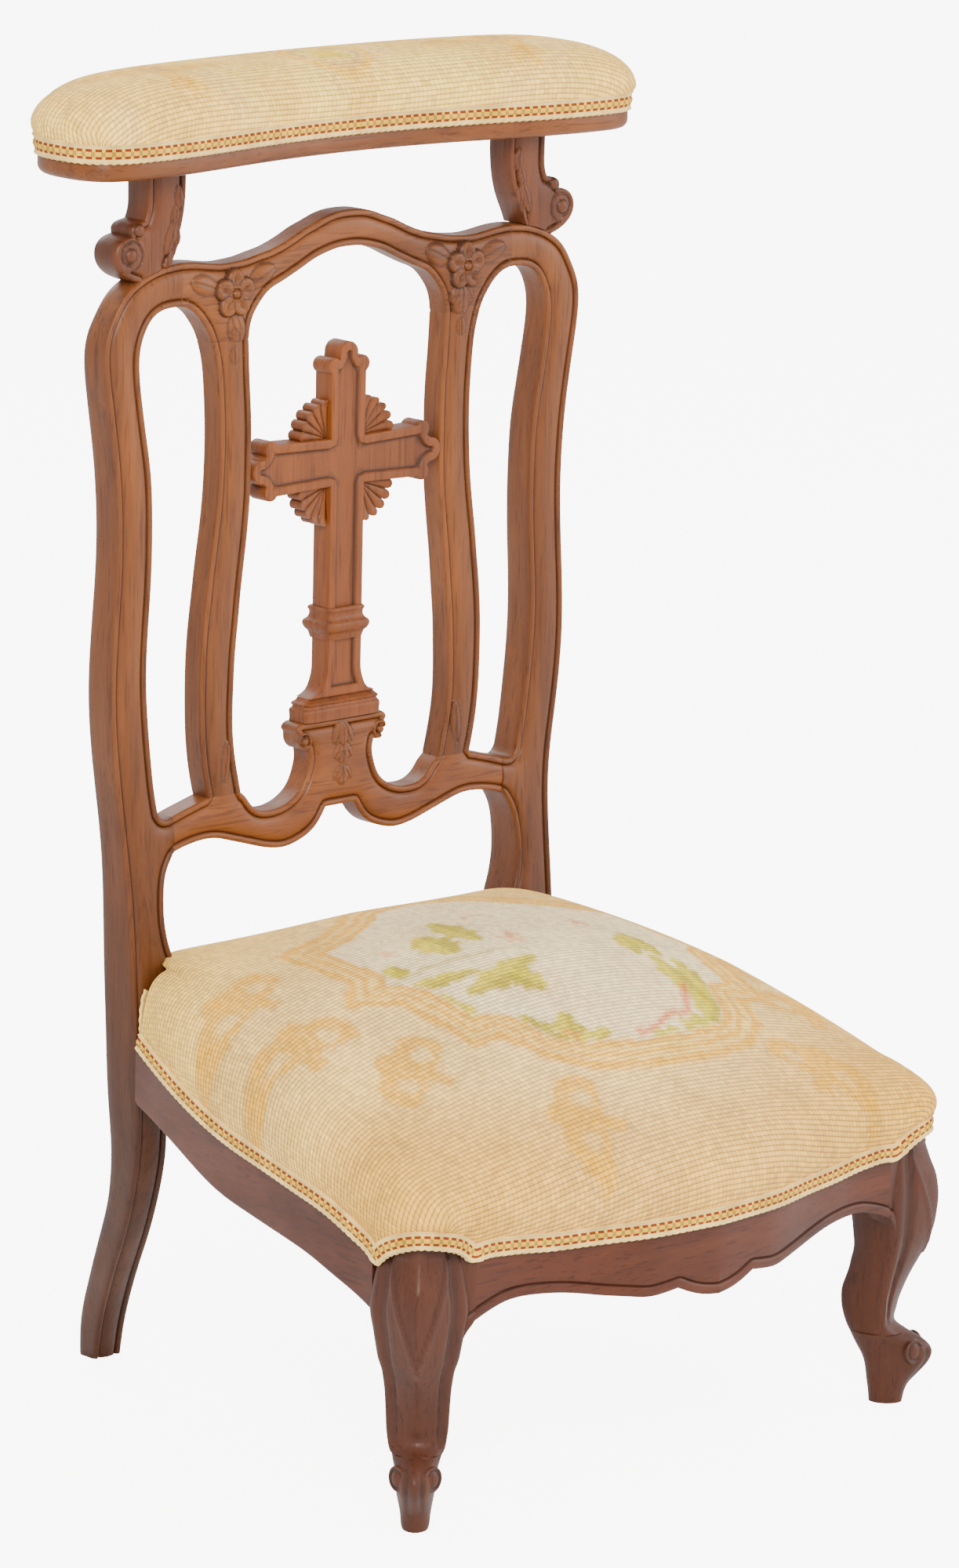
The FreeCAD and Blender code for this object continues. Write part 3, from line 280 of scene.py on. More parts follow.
def sawn(name, line, flags, front, back, profile=bead_profile, rows=BEAD_ROWS, tone=bead_tone, edges=None,
         relief=None, carve=(), axes="xz", fill=5.0, back_radius=1.6, walls=3):
    """A piece sawn to an outline, with a shaped front that follows its moulded edges and a flat back.

    front and back give the depth at (u, v); edges are the moulded edges, if not just the outline's own; relief gives
    the height and painted shade of carving, and carve the boxes (u0, v0, u1, v1, spacing) where the mesh is finer; axes
    says which way the outline lies.
    """
    own = segments(line, flags)
    moulded = edges or own
    outline = segments(line, np.ones(len(line), bool))
    inward = -outward(line)
    low, high = line.min(0), line.max(0)

    # the front
    interior = []
    for row in rows:
        q = (line + inward * row)[flags]
        interior.append(q[inside(q, line) & (distance(q, *moulded) > row - 0.12) & (distance(q, *outline) > 0.22)])
    grid = lattice(low, high, fill)
    grid = grid[inside(grid, line)]
    clear = (distance(grid, *moulded) > rows[-1] + fill * 0.4) & (distance(grid, *outline) > fill * 0.3)
    interior.append(grid[clear])
    for u0, v0, u1, v1, spacing in carve:
        grid = lattice((u0, v0), (u1, v1), spacing)
        grid = grid[inside(grid, line)]
        interior.append(grid[distance(grid, *outline) > 0.5])
    flat, triangles = triangulate(line, np.vstack(interior))
    d = distance(flat, *moulded)
    height, carved_dark, cover = relief(flat) if relief else (0, 0, 0)
    face = front(flat[:, 0], flat[:, 1]) + profile(d) * (1 - cover) - height
    verts = [np.c_[flat, face]]
    # painted shade along the mouldings and in the carving
    tones = [np.maximum(tone(d) * (1 - cover), carved_dark)]
    faces = [list(t) for t in triangles]

    # the back, with its own coarser mesh
    interior = []
    for row in (back_radius * 0.3, back_radius, 6.0):
        q = line + inward * row
        q = q[inside(q, line) & (distance(q, *outline) > row - 0.1)]
        interior.append(q[::2 if row > 3 else 1])
    grid = lattice(low, high, 9.0)
    grid = grid[inside(grid, line)]
    interior.append(grid[distance(grid, *outline) > 9.0])
    behind, triangles = triangulate(line, np.vstack(interior))
    offset = len(flat)
    verts.append(np.c_[behind, back(behind[:, 0], behind[:, 1]) - plain_profile(back_radius)(distance(behind, *own))])
    tones.append(np.full(len(behind), 0.15))
    faces += [[v + offset for v in t][::-1] for t in triangles]

    # the sides, between the two outlines
    count = len(line)
    front_y, back_y = verts[0][:count, 2], verts[1][:count, 2]
    rings = [range(count)]
    for k in range(1, walls):
        rings.append(range(offset + len(behind) + (k - 1) * count, offset + len(behind) + k * count))
        verts.append(np.c_[line, front_y + (back_y - front_y) * (k / walls)])
        tones.append(np.full(count, 0.1))
    rings.append(range(offset, offset + count))
    for here, after in zip(rings, rings[1:]):
        for i in range(count):
            j = (i + 1) % count
            faces.append([here[j], here[i], after[i], after[j]])

    u, v, depth = np.vstack(verts).T
    if (area_of(line) > 0) != (axes == "xz"):
        faces = [face[::-1] for face in faces]
    return mesh_object(name, np.c_[u, depth, v] if axes == "xz" else np.c_[depth, u, v], faces, 34.0,
                       np.concatenate(tones))


# ------------------------------------------------------------------ materials

class Nodes:
    """The nodes of one material; each call adds a node and gives back an output of it."""

    def __init__(self, name):
        self.material = bpy.data.materials.new(name)
        self.material.use_nodes = True
        self.tree = self.material.node_tree
        self.shader = self.tree.nodes["Principled BSDF"]

    def give(self, socket, value):
        """Links the socket to another, or sets its value; a colour needs no alpha."""
        if isinstance(value, bpy.types.NodeSocket):
            self.tree.links.new(value, socket)
        else:
            socket.default_value = (*value, 1) if socket.type == "RGBA" else value

    def add(self, kind, output=0, inputs=None, **settings):
        node = self.tree.nodes.new("ShaderNode" + kind)
        for key, value in settings.items():
            setattr(node, key, value)
        for key, value in (inputs or {}).items():
            self.give(node.inputs[key], value)
        return node.outputs[output]

    def place(self):
        return self.add("TexCoord", "Object")

    def split(self, vector):
        return self.add("SeparateXYZ", inputs={"Vector": vector}).node.outputs

    def noise(self, vector, scale, **more):
        return self.add("TexNoise", "Fac", {"Vector": vector, "Scale": scale, **more})

    def calc(self, operation, first, second=0.0, third=None):
        values = {0: first, 1: second} if third is None else {0: first, 1: second, 2: third}
        return self.add("Math", 0, values, operation=operation)

    def mix(self, factor, first, second, blend="MIX"):
        return self.add("Mix", 2, {0: factor, 6: first, 7: second}, data_type="RGBA", blend_type=blend)

    def times(self, first, second, factor=1.0):
        return self.mix(factor, first, second, "MULTIPLY")

    def ramp(self, factor, *stops):
        color = self.add("ValToRGB", "Color", {"Fac": factor})
        elements = color.node.color_ramp.elements
        while len(elements) < len(stops):
            elements.new(0.5)
        for element, (place, shade) in zip(elements, stops):
            element.position = place
            element.color = (*shade, 1)
        return color

    def bump(self, height, strength, distance):
        return self.add("Bump", 0, {"Height": height, "Strength": strength, "Distance": distance})

    def done(self, values):
        """The material, with its shader's inputs linked or set."""
        for key, value in values.items():
            self.give(self.shader.inputs[key], value)
        return self.material


def wood(name, along, light, dark, shift=0.0, gloss=0.36, fade=1.0):
    """Waxed walnut with its grain along one axis, painted shade from the tone layer in the carving's hollows and the
    mouldings' quirks, and darker towards the bottom.
    """
    n = Nodes(name)
    place = n.place()

    def stretched(slow, fast, scale, **more):
        spread = tuple(slow if axis == along else fast for axis in "xyz")
        return n.noise(n.add("Mapping", 0, {"Vector": place, "Scale": spread,
                                            "Location": (shift, shift * 1.7, shift * 0.6)}), scale, **more)

    grain = stretched(5.0, 62.0, 1.6, Detail=5.0, Roughness=0.62, Distortion=0.9)
    figure = stretched(1.6, 11.0, 1.5, Detail=3.0, Distortion=1.8)
    pores = stretched(26.0, 520.0, 1.0, Detail=2.0)
    mid = tuple(0.82 * a + 0.18 * b for a, b in zip(light, dark))
    dark = tuple(0.50 * a + 0.50 * b for a, b in zip(light, dark))
    base = n.ramp(grain, (0.26, dark), (0.44, mid), (0.60, light), (0.80, mid))
    base = n.times(base, n.ramp(figure, (0.32, (0.70, 0.64, 0.60)), (0.66, (1.12, 1.08, 1.04))))
    base = n.times(base, n.ramp(pores, (0.32, (0.50, 0.44, 0.40)), (0.44, (1, 1, 1))), 0.7)
    # painted shade: the tone layer darkens the carving's hollows and the mouldings' quirks towards near-black
    base = n.mix(n.add("VertexColor", "Color", layer_name="tone"), base, (0.022, 0.010, 0.006))
    wear = n.noise(place, 34.0, Detail=4.0)
    base = n.mix(n.calc("MULTIPLY", wear, 0.28), base, (0.05, 0.022, 0.014))
    height = n.split(place)[2]
    base = n.times(base, n.ramp(height, (0.20, (fade, fade * 0.92, fade * 0.9)), (0.52, (1, 1, 1))))
    rough = n.calc("MULTIPLY_ADD", wear, 0.26, gloss - 0.1)
    return n.done({
        "Base Color": base, "Roughness": n.calc("ADD", rough, n.calc("MULTIPLY", pores, 0.08)),
        "Normal": n.bump(n.calc("ADD", pores, grain), 0.16, 0.0006),
        "Specular IOR Level": 0.22, "Coat Weight": 0.05, "Coat Roughness": 0.28})


def needlework(name, cell=3.6):
    """Counted wool stitches: colour from the piece, each stitch a small raised slanting tuft, with painted shade in the
    gaps between them.
    """
    n = Nodes(name)
    colour = n.add("VertexColor", "Color", layer_name="stitch")
    split = n.split(n.add("UVMap", "UV", uv_map="weave"))
    across, up = (n.calc("DIVIDE", split[k], cell) for k in (0, 1))
    bump_x, bump_y = (n.calc("SINE", n.calc("MULTIPLY", n.calc("FRACT", way), math.pi)) for way in (across, up))
    slow_x = n.calc("ADD", n.calc("MULTIPLY", bump_x, 0.72), 0.28)
    tuft = n.calc("POWER", n.calc("MULTIPLY", slow_x, bump_y), 0.7)
    stitch = n.add("CombineXYZ", 0, {"X": n.calc("FLOOR", across), "Y": n.calc("FLOOR", up)})
    random = n.add("TexWhiteNoise", "Value", {"Vector": stitch}, noise_dimensions="3D")
    base = n.times(colour, n.ramp(random, (0.0, (0.84, 0.84, 0.84)), (1.0, (1.14, 1.13, 1.10))))
    # painted shade in the gaps between the tufts, their crowns a touch lighter
    base = n.times(base, n.ramp(tuft, (0.16, (0.56, 0.47, 0.38)), (0.60, (1.07, 1.07, 1.07))), 0.9)
    place = n.place()
    worn = n.noise(place, 16.0, Detail=4.0)
    base = n.times(base, n.ramp(worn, (0.32, (0.90, 0.87, 0.83)), (0.68, (1.09, 1.07, 1.05))))
    fuzz = n.noise(place, 1500.0, Detail=2.0)
    return n.done({
        "Base Color": base, "Normal": n.bump(n.calc("ADD", tuft, n.calc("MULTIPLY", fuzz, 0.45)), 0.75, 0.0011),
        "Roughness": 0.9, "Sheen Weight": 0.06, "Sheen Roughness": 0.5, "Specular IOR Level": 0.06})


BRAID_REPEAT = 6.4      # millimetres from one picket of the braid to the next


def braid_material():
    """Woven braid: a cream cord, brown dashes, a ladder of yellow pickets, brown dashes and a cream scalloped edge."""
    n = Nodes("braid")
    run, rise, _ = n.split(n.add("UVMap", "UV", uv_map="weave"))
    cream, brown, yellow, olive = (0.93, 0.66, 0.22), (0.24, 0.045, 0.006), (0.90, 0.50, 0.045), (0.46, 0.28, 0.02)
    share = n.calc("FRACT", n.calc("DIVIDE", run, BRAID_REPEAT))
    dashes = n.mix(n.calc("LESS_THAN", share, 0.66), (0.86, 0.52, 0.08), brown)
    color = cream
    pickets = n.mix(n.calc("LESS_THAN", share, 0.60), olive, yellow)
    for start, band in ((0.25, dashes), (0.39, pickets), (0.62, dashes), (0.76, cream)):
        color = n.mix(n.calc("GREATER_THAN", rise, start), color, band)
    place = n.place()
    dust = n.noise(place, 60.0, Detail=5.0)
    color = n.times(color, n.ramp(dust, (0.3, (0.72, 0.68, 0.62)), (0.7, (1.1, 1.08, 1.04))))
    thread = n.calc("SINE", n.calc("MULTIPLY", run, 7.2))
    fuzz = n.noise(place, 1400.0)
    return n.done({
        "Base Color": color, "Normal": n.bump(n.calc("ADD", n.calc("MULTIPLY", thread, 0.3), fuzz), 0.6, 0.0006),
        "Roughness": 0.85, "Sheen Weight": 0.05, "Specular IOR Level": 0.1})


def cloth_material(name, thread, gap, cell):
    """A coarse plain weave on the inner layers."""
    n = Nodes(name)
    place = n.place()
    split = n.split(place)
    weave = n.calc("MULTIPLY", *(n.calc("SINE", n.calc("MULTIPLY", split[k], math.tau / cell)) for k in (0, 1)))
    noise = n.noise(place, 300.0, Detail=4.0)
    height = n.calc("ADD", n.calc("MULTIPLY_ADD", weave, 0.35, 0.5), n.calc("MULTIPLY", noise, 0.3))
    # painted shade in the gaps of the weave
    return n.done({"Base Color": n.ramp(height, (0.25, gap), (0.8, thread)), "Normal": n.bump(height, 0.6, 0.0008),
                   "Roughness": 0.92})


def metal_material(name, color, rust, rough):
    n = Nodes(name)
    noise = n.noise(n.place(), 220.0, Detail=5.0)
    return n.done({"Base Color": n.ramp(noise, (0.35, rust), (0.6, color)),
                   "Roughness": n.ramp(noise, (0.3, (0.7,) * 3), (0.7, (rough,) * 3)), "Metallic": 0.8})


# walnut above and below the seat; the first colour is the wood's light one, the second its dark one
ORANGE = (0.205, 0.064, 0.012), (0.040, 0.010, 0.003)
RED = (0.088, 0.024, 0.008), (0.030, 0.009, 0.004)
upright = wood("walnut_upright", "z", *ORANGE, fade=0.34)
level = wood("walnut_level", "x", *ORANGE, 3.1)
rail_wood = wood("walnut_rail", "x", *RED, 5.3)
side_wood = wood("walnut_side", "y", *RED, 7.7)
leg_wood = wood("walnut_leg", "z", (0.078, 0.023, 0.008), (0.026, 0.008, 0.003), 9.1, 0.38)
post_wood = wood("walnut_post", "z", (0.125, 0.036, 0.009), (0.030, 0.008, 0.003), 10.4, 0.38)
cross_wood = wood("walnut_cross", "z", (0.215, 0.060, 0.010), (0.050, 0.014, 0.004), 12.0, 0.42)
plain_wood = wood("walnut_plain", "x", (0.12, 0.045, 0.018), (0.05, 0.018, 0.008), 14.0, 0.55)
beech = wood("beech", "z", (0.55, 0.34, 0.18), (0.40, 0.23, 0.12), 16.0, 0.6)
needle = needlework("needlework")
braid = braid_material()
jute = cloth_material("jute_webbing", (0.46, 0.34, 0.20), (0.18, 0.12, 0.07), 0.004)
hessian = cloth_material("hessian", (0.50, 0.40, 0.26), (0.22, 0.16, 0.10), 0.0025)
tack_metal = metal_material("blued_tacks", (0.06, 0.06, 0.07), (0.12, 0.05, 0.025), 0.35)
spring_metal = metal_material("coppered_wire", (0.42, 0.27, 0.16), (0.10, 0.055, 0.03), 0.3)


# ------------------------------------------------------------------ outlines shared by the back frame

SIDES = (("left", -1), ("right", 1))

CREST_TOP = [(0, 788), (10, 787.5), (20, 785.5), (30, 782), (40, 778.5), (50, 774), (60, 770), (70, 767),
             (80, 765), (90, 763), (100, 762), (110, 761.6), (120, 762.5), (130, 764), (140, 765), (146.6, 765.2)]
CREST_BAY = [(146.6, 736.4), (140, 734.5), (135, 731.5), (130, 727), (126, 722), (122, 716), (119.3, 710)]
CREST_ARCH = [(87.6, 710), (86.5, 718), (84, 725), (80, 731), (75, 736.5), (70, 740.5), (60, 744.8), (50, 749),
              (40, 753.5), (30, 758), (20, 761), (10, 763), (0, 763.5)]
SPLAT_OUTER = [(119.3, 710), (116, 699), (113.3, 680), (111.6, 650), (112, 622), (113.5, 600), (116, 580),
               (119, 560), (121.5, 540), (124, 520), (125.6, 500), (126, 470), (124.5, 440), (121.5, 420),
               (117.8, 404.2)]
SPLAT_INNER = [(88.8, 404.2), (92.5, 420), (96, 440), (97, 460), (96.5, 480), (95.5, 500), (93.5, 520),
               (91.5, 540), (89, 560), (86.5, 580), (84.7, 600), (84, 630), (84.5, 660), (86, 680), (87.6, 710)]
PEDESTAL_TIP = [(36, 443.5), (39.5, 441.4), (40.3, 438.6), (38.8, 436.6), (38.4, 433), (36.8, 428.6), (33.6, 425.4),
                (29.5, 424.8)]
PEDESTAL_SCOOP = [(29.5, 424.8), (28.4, 419), (29.5, 412), (32, 405), (36, 398.5), (40, 395), (45, 392), (50, 390),
                  (55, 388.7), (62, 388.2), (70, 389), (75, 391), (80, 395), (84, 400), (88.8, 404.2)]
RAIL_ARCH = [(117.8, 404.2), (124, 402.6), (130, 401), (140, 398.3), (148.8, 395.6)]
RAIL_LOW = [(148.8, 371), (140, 373.4), (128, 375.6), (119, 376.2), (110, 375.5), (100, 373), (90, 370), (80, 367),
            (70, 364), (60, 361.8), (50, 361), (40, 362.7), (30, 366.3), (22, 371.5), (16.5, 378), (13, 383.5)]
STILE_OUTER = [(141.5, 0), (147.6, 27), (153, 50), (160.5, 76), (167, 100), (174.5, 129), (180, 150), (185.6, 180),
               (188.7, 215), (190, 250), (190.5, 300), (190.5, 340), (192.5, 380), (197.5, 420), (201.6, 455),
               (203, 480), (202.8, 500), (200.4, 540), (198.6, 575), (198.8, 600), (202, 640), (208.2, 680),
               (211, 700), (211.3, 712), (209.5, 722), (203.5, 735), (195.5, 747), (185.5, 755), (175, 760),
               (160, 764), (146.6, 765.2)]
STILE_INNER = [(146.6, 736.4), (155, 736.3), (163, 735), (170, 731.3), (176.4, 723), (180.4, 712), (181.3, 700),
               (179.2, 680), (175, 655), (170.5, 628), (168.8, 600), (168.7, 575), (170, 545), (172, 515),
               (172.5, 495), (171.4, 470), (168.2, 440), (164.6, 415), (161.5, 400)]
STILE_EAR = [(161.5, 400), (157.5, 395.2), (148.8, 395.6)]
LEG_INNER = [(148.8, 371), (152.6, 365.6), (156.4, 358), (159, 345), (159.7, 330), (158.4, 318), (155.2, 306),
             (152, 297), (150, 287)]
SABRE_INNER = [(150, 214), (156.6, 208), (160, 195), (157.6, 172), (153, 150), (147.6, 126), (141, 100), (135, 76),
               (128, 50), (122, 22), (117.5, 0)]
STILE_FRONT = table([(0, 84), (14, 78.6), (37, 68.2), (60, 54.8), (83, 39.6), (106, 24.6), (129, 11), (151, 0),
                     (175, -9), (195, -12.6), (230, -14), (280, -10.5), (330, -6), (370, -1.8), (395, -0.2),
                     (420, 0), (500, 0), (770, 0)])
STILE_BACK = table([(0, 101.4), (21, 95.6), (39, 88.4), (62, 75.3), (85, 61), (108, 47), (131, 34), (153, 24.8),
                    (175, 19.9), (205, 19.4), (258, 20.4), (300, 22.4), (340, 23.9), (400, 25), (500, 26),
                    (600, 25), (700, 24), (765, 20)])
DEPTH = near_box("crest_rail")[1].y

crest_runs = symmetric([(CREST_TOP, True), ([CREST_TOP[-1], CREST_BAY[0]], False), (CREST_BAY, True),
                        ([CREST_BAY[-1], CREST_ARCH[0]], False), (CREST_ARCH, True)])
crest_line, crest_flags = closed_loop(crest_runs, 1.4)
splat_runs = [(SPLAT_OUTER, True), ([SPLAT_OUTER[-1], SPLAT_INNER[0]], False), (SPLAT_INNER, True),
              ([SPLAT_INNER[-1], SPLAT_OUTER[0]], False)]
splat_line, splat_flags = closed_loop(splat_runs, 1.4)
lower_runs = symmetric([([(0, 443.5), (36, 443.5)], True), (PEDESTAL_TIP, True), (PEDESTAL_SCOOP, True),
                        ([PEDESTAL_SCOOP[-1], RAIL_ARCH[0]], False), (RAIL_ARCH, True),
                        ([RAIL_ARCH[-1], RAIL_LOW[0]], False), (RAIL_LOW, True), ([RAIL_LOW[-1], (0, 383.5)], True)])
lower_line, lower_flags = closed_loop(lower_runs, 1.3)
stile_runs = [(STILE_OUTER, True), ([STILE_OUTER[-1], STILE_INNER[0]], False), (STILE_INNER, True),
              (STILE_EAR, True), ([STILE_EAR[-1], LEG_INNER[0]], False), (LEG_INNER, True),
              ([LEG_INNER[-1], SABRE_INNER[0]], False), (SABRE_INNER, True), ([SABRE_INNER[-1], STILE_OUTER[0]], False)]
stile_line, stile_flags = closed_loop(stile_runs, 1.6)


def flip(line, flags):
    """The mirror image of a closed polyline, its edge flags kept with their edges."""
    turned = line[::-1].copy()
    turned[:, 0] *= -1
    return turned, np.roll(flags[::-1], -1)


def on_side(line, flags, side):
    """A right-hand outline, or its mirror image for the left."""
    return (line, flags) if side > 0 else flip(line, flags)


moulded_edges = [segments(*outline) for outline in (
    (crest_line, crest_flags), (splat_line, splat_flags), flip(splat_line, splat_flags), (lower_line, lower_flags),
    (stile_line, stile_flags), flip(stile_line, stile_flags))]
ALL_EDGES = tuple(np.vstack(ends) for ends in zip(*moulded_edges))


def near(line, margin=14.0):
    """Only those of the frame's moulded edges that come close to an outline, to keep the distance sums short."""
    low, high = line.min(0) - margin, line.max(0) + margin
    middle = (ALL_EDGES[0] + ALL_EDGES[1]) / 2
    keep = ((middle > low) & (middle < high)).all(1)
    return ALL_EDGES[0][keep], ALL_EDGES[1][keep]


# ------------------------------------------------------------------ carving

class Carving:
    """Adds up relief over a face: height above it, painted shade in its hollows, and where it hides the moulding."""

    def __init__(self, points):
        self.p = points
        self.height, self.dark, self.cover = np.zeros((3, len(points)))

    def lay(self, height, mask, dark):
        over = mask > 0
        self.height = np.where(over & (height * mask > self.height), height * mask, self.height)
        self.dark = np.where(over, np.maximum(self.dark * (1 - mask), dark), self.dark)
        self.cover = np.maximum(self.cover, mask)

    def along(self, u, v, turn):
        """Each point's place along and across a direction from (u, v)."""
        c, s = math.cos(math.radians(turn)), math.sin(math.radians(turn))
        du, dv = self.p[:, 0] - u, self.p[:, 1] - v
        return du * c + dv * s, -du * s + dv * c

    def away(self, u, v):
        return np.hypot(self.p[:, 0] - u, self.p[:, 1] - v)

    def leaf(self, u, v, length, width, turn, high=2.6):
        """A pointed, veined leaf from (u, v) out along turn degrees."""
        along, across = self.along(u, v, turn)
        along, across = along / length, across / (width / 2)
        half = np.sqrt(np.maximum(0, np.sin(np.clip(along, 0, 1) * math.pi) ** 0.9))
        inside_it = half - np.abs(across)
        mask = smoothstep(inside_it * 2.6 + 0.15) * ((along > 0) & (along < 1))
        crown = high * np.sqrt(np.clip(inside_it, 0, 1)) * (0.65 + 0.35 * along) - 0.9 * bell(across, 0.13)
        # painted shade round the leaf's rim and down its vein
        rim_dark = 0.75 * bell(inside_it, 0.12) * (along > 0) * (along < 1)
        vein_dark = 0.55 * bell(across, 0.12) * (inside_it > 0) * (along > 0.05)
        self.lay(crown, mask, np.maximum(rim_dark, vein_dark))

    def petal(self, u, v, radius, turn, high):
        """A round cupped petal: a raised rim, hollow in the middle, with a crease towards the flower's centre."""
        r = self.away(u, v) / radius
        across = self.along(u, v, turn)[1] / radius
        cup = high * np.sqrt(np.clip(1 - r ** 4, 0, 1)) - 0.34 * high * bell(r, 0.45)
        cup -= 0.9 * bell(across, 0.14) * (r < 0.8)
        # painted shade round the petal's edge and in its cupped middle
        self.lay(cup, smoothstep((1.06 - r) * 6), np.maximum(0.9 * bell(r - 1.0, 0.13), 0.35 * bell(r, 0.4)))

    def boss(self, u, v, radius, high):
        r = self.away(u, v) / radius
        # painted shade round the boss's foot
        self.lay(high * np.sqrt(np.clip(1 - r * r, 0, 1)) + 0.3, smoothstep((1.08 - r) * 5), 0.8 * bell(r - 1, 0.14))

    def ring(self, u, v, radius, wide, high):
        r = np.abs(self.away(u, v) - radius) / (wide / 2)
        # painted shade along the ring's edges
        self.lay(high * np.sqrt(np.clip(1 - r * r, 0, 1)), smoothstep((1.15 - r) * 4), 0.7 * bell(r - 1, 0.2))

    def result(self):
        return self.height, self.dark, self.cover


def crest_carving(points):
    """A five-petalled flower with leaf buds and a husk over each splat."""
    carving = Carving(points)
    for side in (-1, 1):
        x, z = side * 103, 741.5
        carving.leaf(side * 90, 746, 25, 15, 90 + side * 66, 4.0)
        carving.leaf(side * 116, 745, 25, 14, 90 - side * 72, 4.0)
        carving.leaf(side * 100.5, 729, 22, 17, 270 - side * 4, 4.4)
        carving.leaf(side * 99, 729, 15, 10, 242, 3.6)
        carving.leaf(side * 103, 729, 15, 10, 298, 3.6)
        for k in range(5):
            angle = 90 + 72 * k
            turn = math.radians(angle)
            carving.petal(x + 9.6 * math.cos(turn), z + 9.6 * math.sin(turn), 7.6, angle, 5.0)
        carving.ring(x, z, 4.6, 2.4, 4.6)
        carving.boss(x, z, 3.6, 6.0)
    return carving.result()


def splat_carving(points):
    carving = Carving(points)
    for side in (-1, 1):
        carving.leaf(side * 101, 707, 13, 8.5, 268, 2.2)
        carving.leaf(side * 105, 412, 30, 9, 90 + 5 * side, 1.6)
    return carving.result()


def lower_carving(points):
    """Husks down the pedestal and volute eyes at its ends."""
    carving = Carving(points)
    for side in (-1, 1):
        carving.ring(side * 34.0, 431.2, 5.4, 2.2, 1.2)
        carving.boss(side * 34.0, 431.2, 2.8, 2.0)
        carving.leaf(0, 441, 17, 11, 270 + side * 26, 2.4)
    carving.leaf(0, 440.5, 17, 9, 270, 2.9)
    for top, wide in ((426, 13), (411, 11)):
        carving.leaf(0, top + 1, 15, wide, 270, 2.8)
        for side in (-1, 1):
            carving.leaf(side * 1.5, top, 12, wide * 0.6, 270 + side * 30, 2.0)
    return carving.result()


def back_frame_piece(name, node, line, flags, material, front, back, **more):
    finish(sawn(name, line, flags, front, back, edges=near(line), **more), material, "walnut", node)


FACE, REAR = at_depth(0), at_depth(DEPTH)
back_frame_piece("crest_rail_moulded", "crest_rail", crest_line, crest_flags, level, FACE, REAR,
                 relief=crest_carving, carve=[(-140, 700, -66, 765, 0.8), (66, 700, 140, 765, 0.8)])
for label, side in SIDES:
    back_frame_piece("splat_" + label + "_moulded", "splat_" + label, *on_side(splat_line, splat_flags, side),
                     upright, FACE, REAR, relief=splat_carving,
                     carve=[(side * 101 - 20, 688, side * 101 + 20, 710, 0.9),
                            (side * 103 - 20, 404, side * 103 + 20, 444, 1.0)])
    back_frame_piece("rear_leg_" + label + "_shaped", "rear_leg_" + label, *on_side(stile_line, stile_flags, side),
                     upright, lambda u, v: STILE_FRONT(v), lambda u, v: STILE_BACK(v), walls=4, back_radius=3.2)
back_frame_piece("lower_rail_moulded", "lower_rail", lower_line, lower_flags, level, FACE, REAR,
                 relief=lower_carving, carve=[(-42, 396, 42, 443, 0.8)])

# ------------------------------------------------------------------ cross, rays, collar and plinth

ARM_Z = 619.0


def arc(cu, cv, radius, start, end, steps=8):
    return [(cu + radius * math.cos(math.radians(start + (end - start) * k / steps)),
             cv + radius * math.sin(math.radians(start + (end - start) * k / steps))) for k in range(steps + 1)]


def trefoil(half, reach, side_radius=5.8, tip_radius=8.0):
    u = reach - tip_radius - 8.0
    v = half - 1.5
    return [arc(u, -v, side_radius, -150, 45, 12), arc(reach - tip_radius, 0, tip_radius, -95, 95, 12),
            arc(u, v, side_radius, -45, 150, 12)]


def chained(curves):
    runs = []
    for here, after in zip(curves, curves[1:] + curves[:1]):
        if len(here) > 1:
            runs.append((here, True))
        runs.append(([here[-1], after[0]], True))
    return runs


right_arm = [[(u, ARM_Z + v) for u, v in run] for run in trefoil(16.0, 83.6)]
left_arm = [mirror(run)[::-1] for run in right_arm[::-1]]
head = [[(-v, u) for u, v in run] for run in trefoil(14.0, 699.8)]
flare = [(29, 459.6), (24, 461.2), (20, 464), (17.2, 469), (15.4, 475), (15, 482)]
cross_line, cross_flags = closed_loop(chained(
    [flare, [(15, ARM_Z - 16)], *right_arm, [(15, ARM_Z + 16)], *head, [(-15, ARM_Z + 16)], *left_arm,
     [(-15, ARM_Z - 16)], mirror(flare)[::-1]]), 1.1)
CROSS_ROWS = (0.25, 0.7, 1.3, 3.4, 5.4, 5.9, 6.5, 7.1, 7.6, 9.0)


def cross_profile(d):
    """A raised flat border with eased edges, round a sunk field."""
    edge = plain_profile(1.1)(d)
    return edge + 2.3 * smoothstep((d - 5.4) / 2.0)


# painted shadow along the foot of the raised border, and a little painted shade over the sunk field
def cross_tone(d):
    return 0.75 * bell(d - 7.0, 0.9) + 0.12 * (d > 7)


CROSS_BACK = near_box("cross")[1].y
cross = sawn("cross_carved", cross_line, cross_flags, at_depth(-1.2), at_depth(CROSS_BACK - 1.4),
             profile=cross_profile, rows=CROSS_ROWS, tone=cross_tone)
finish(cross, cross_wood, "walnut", "cross")

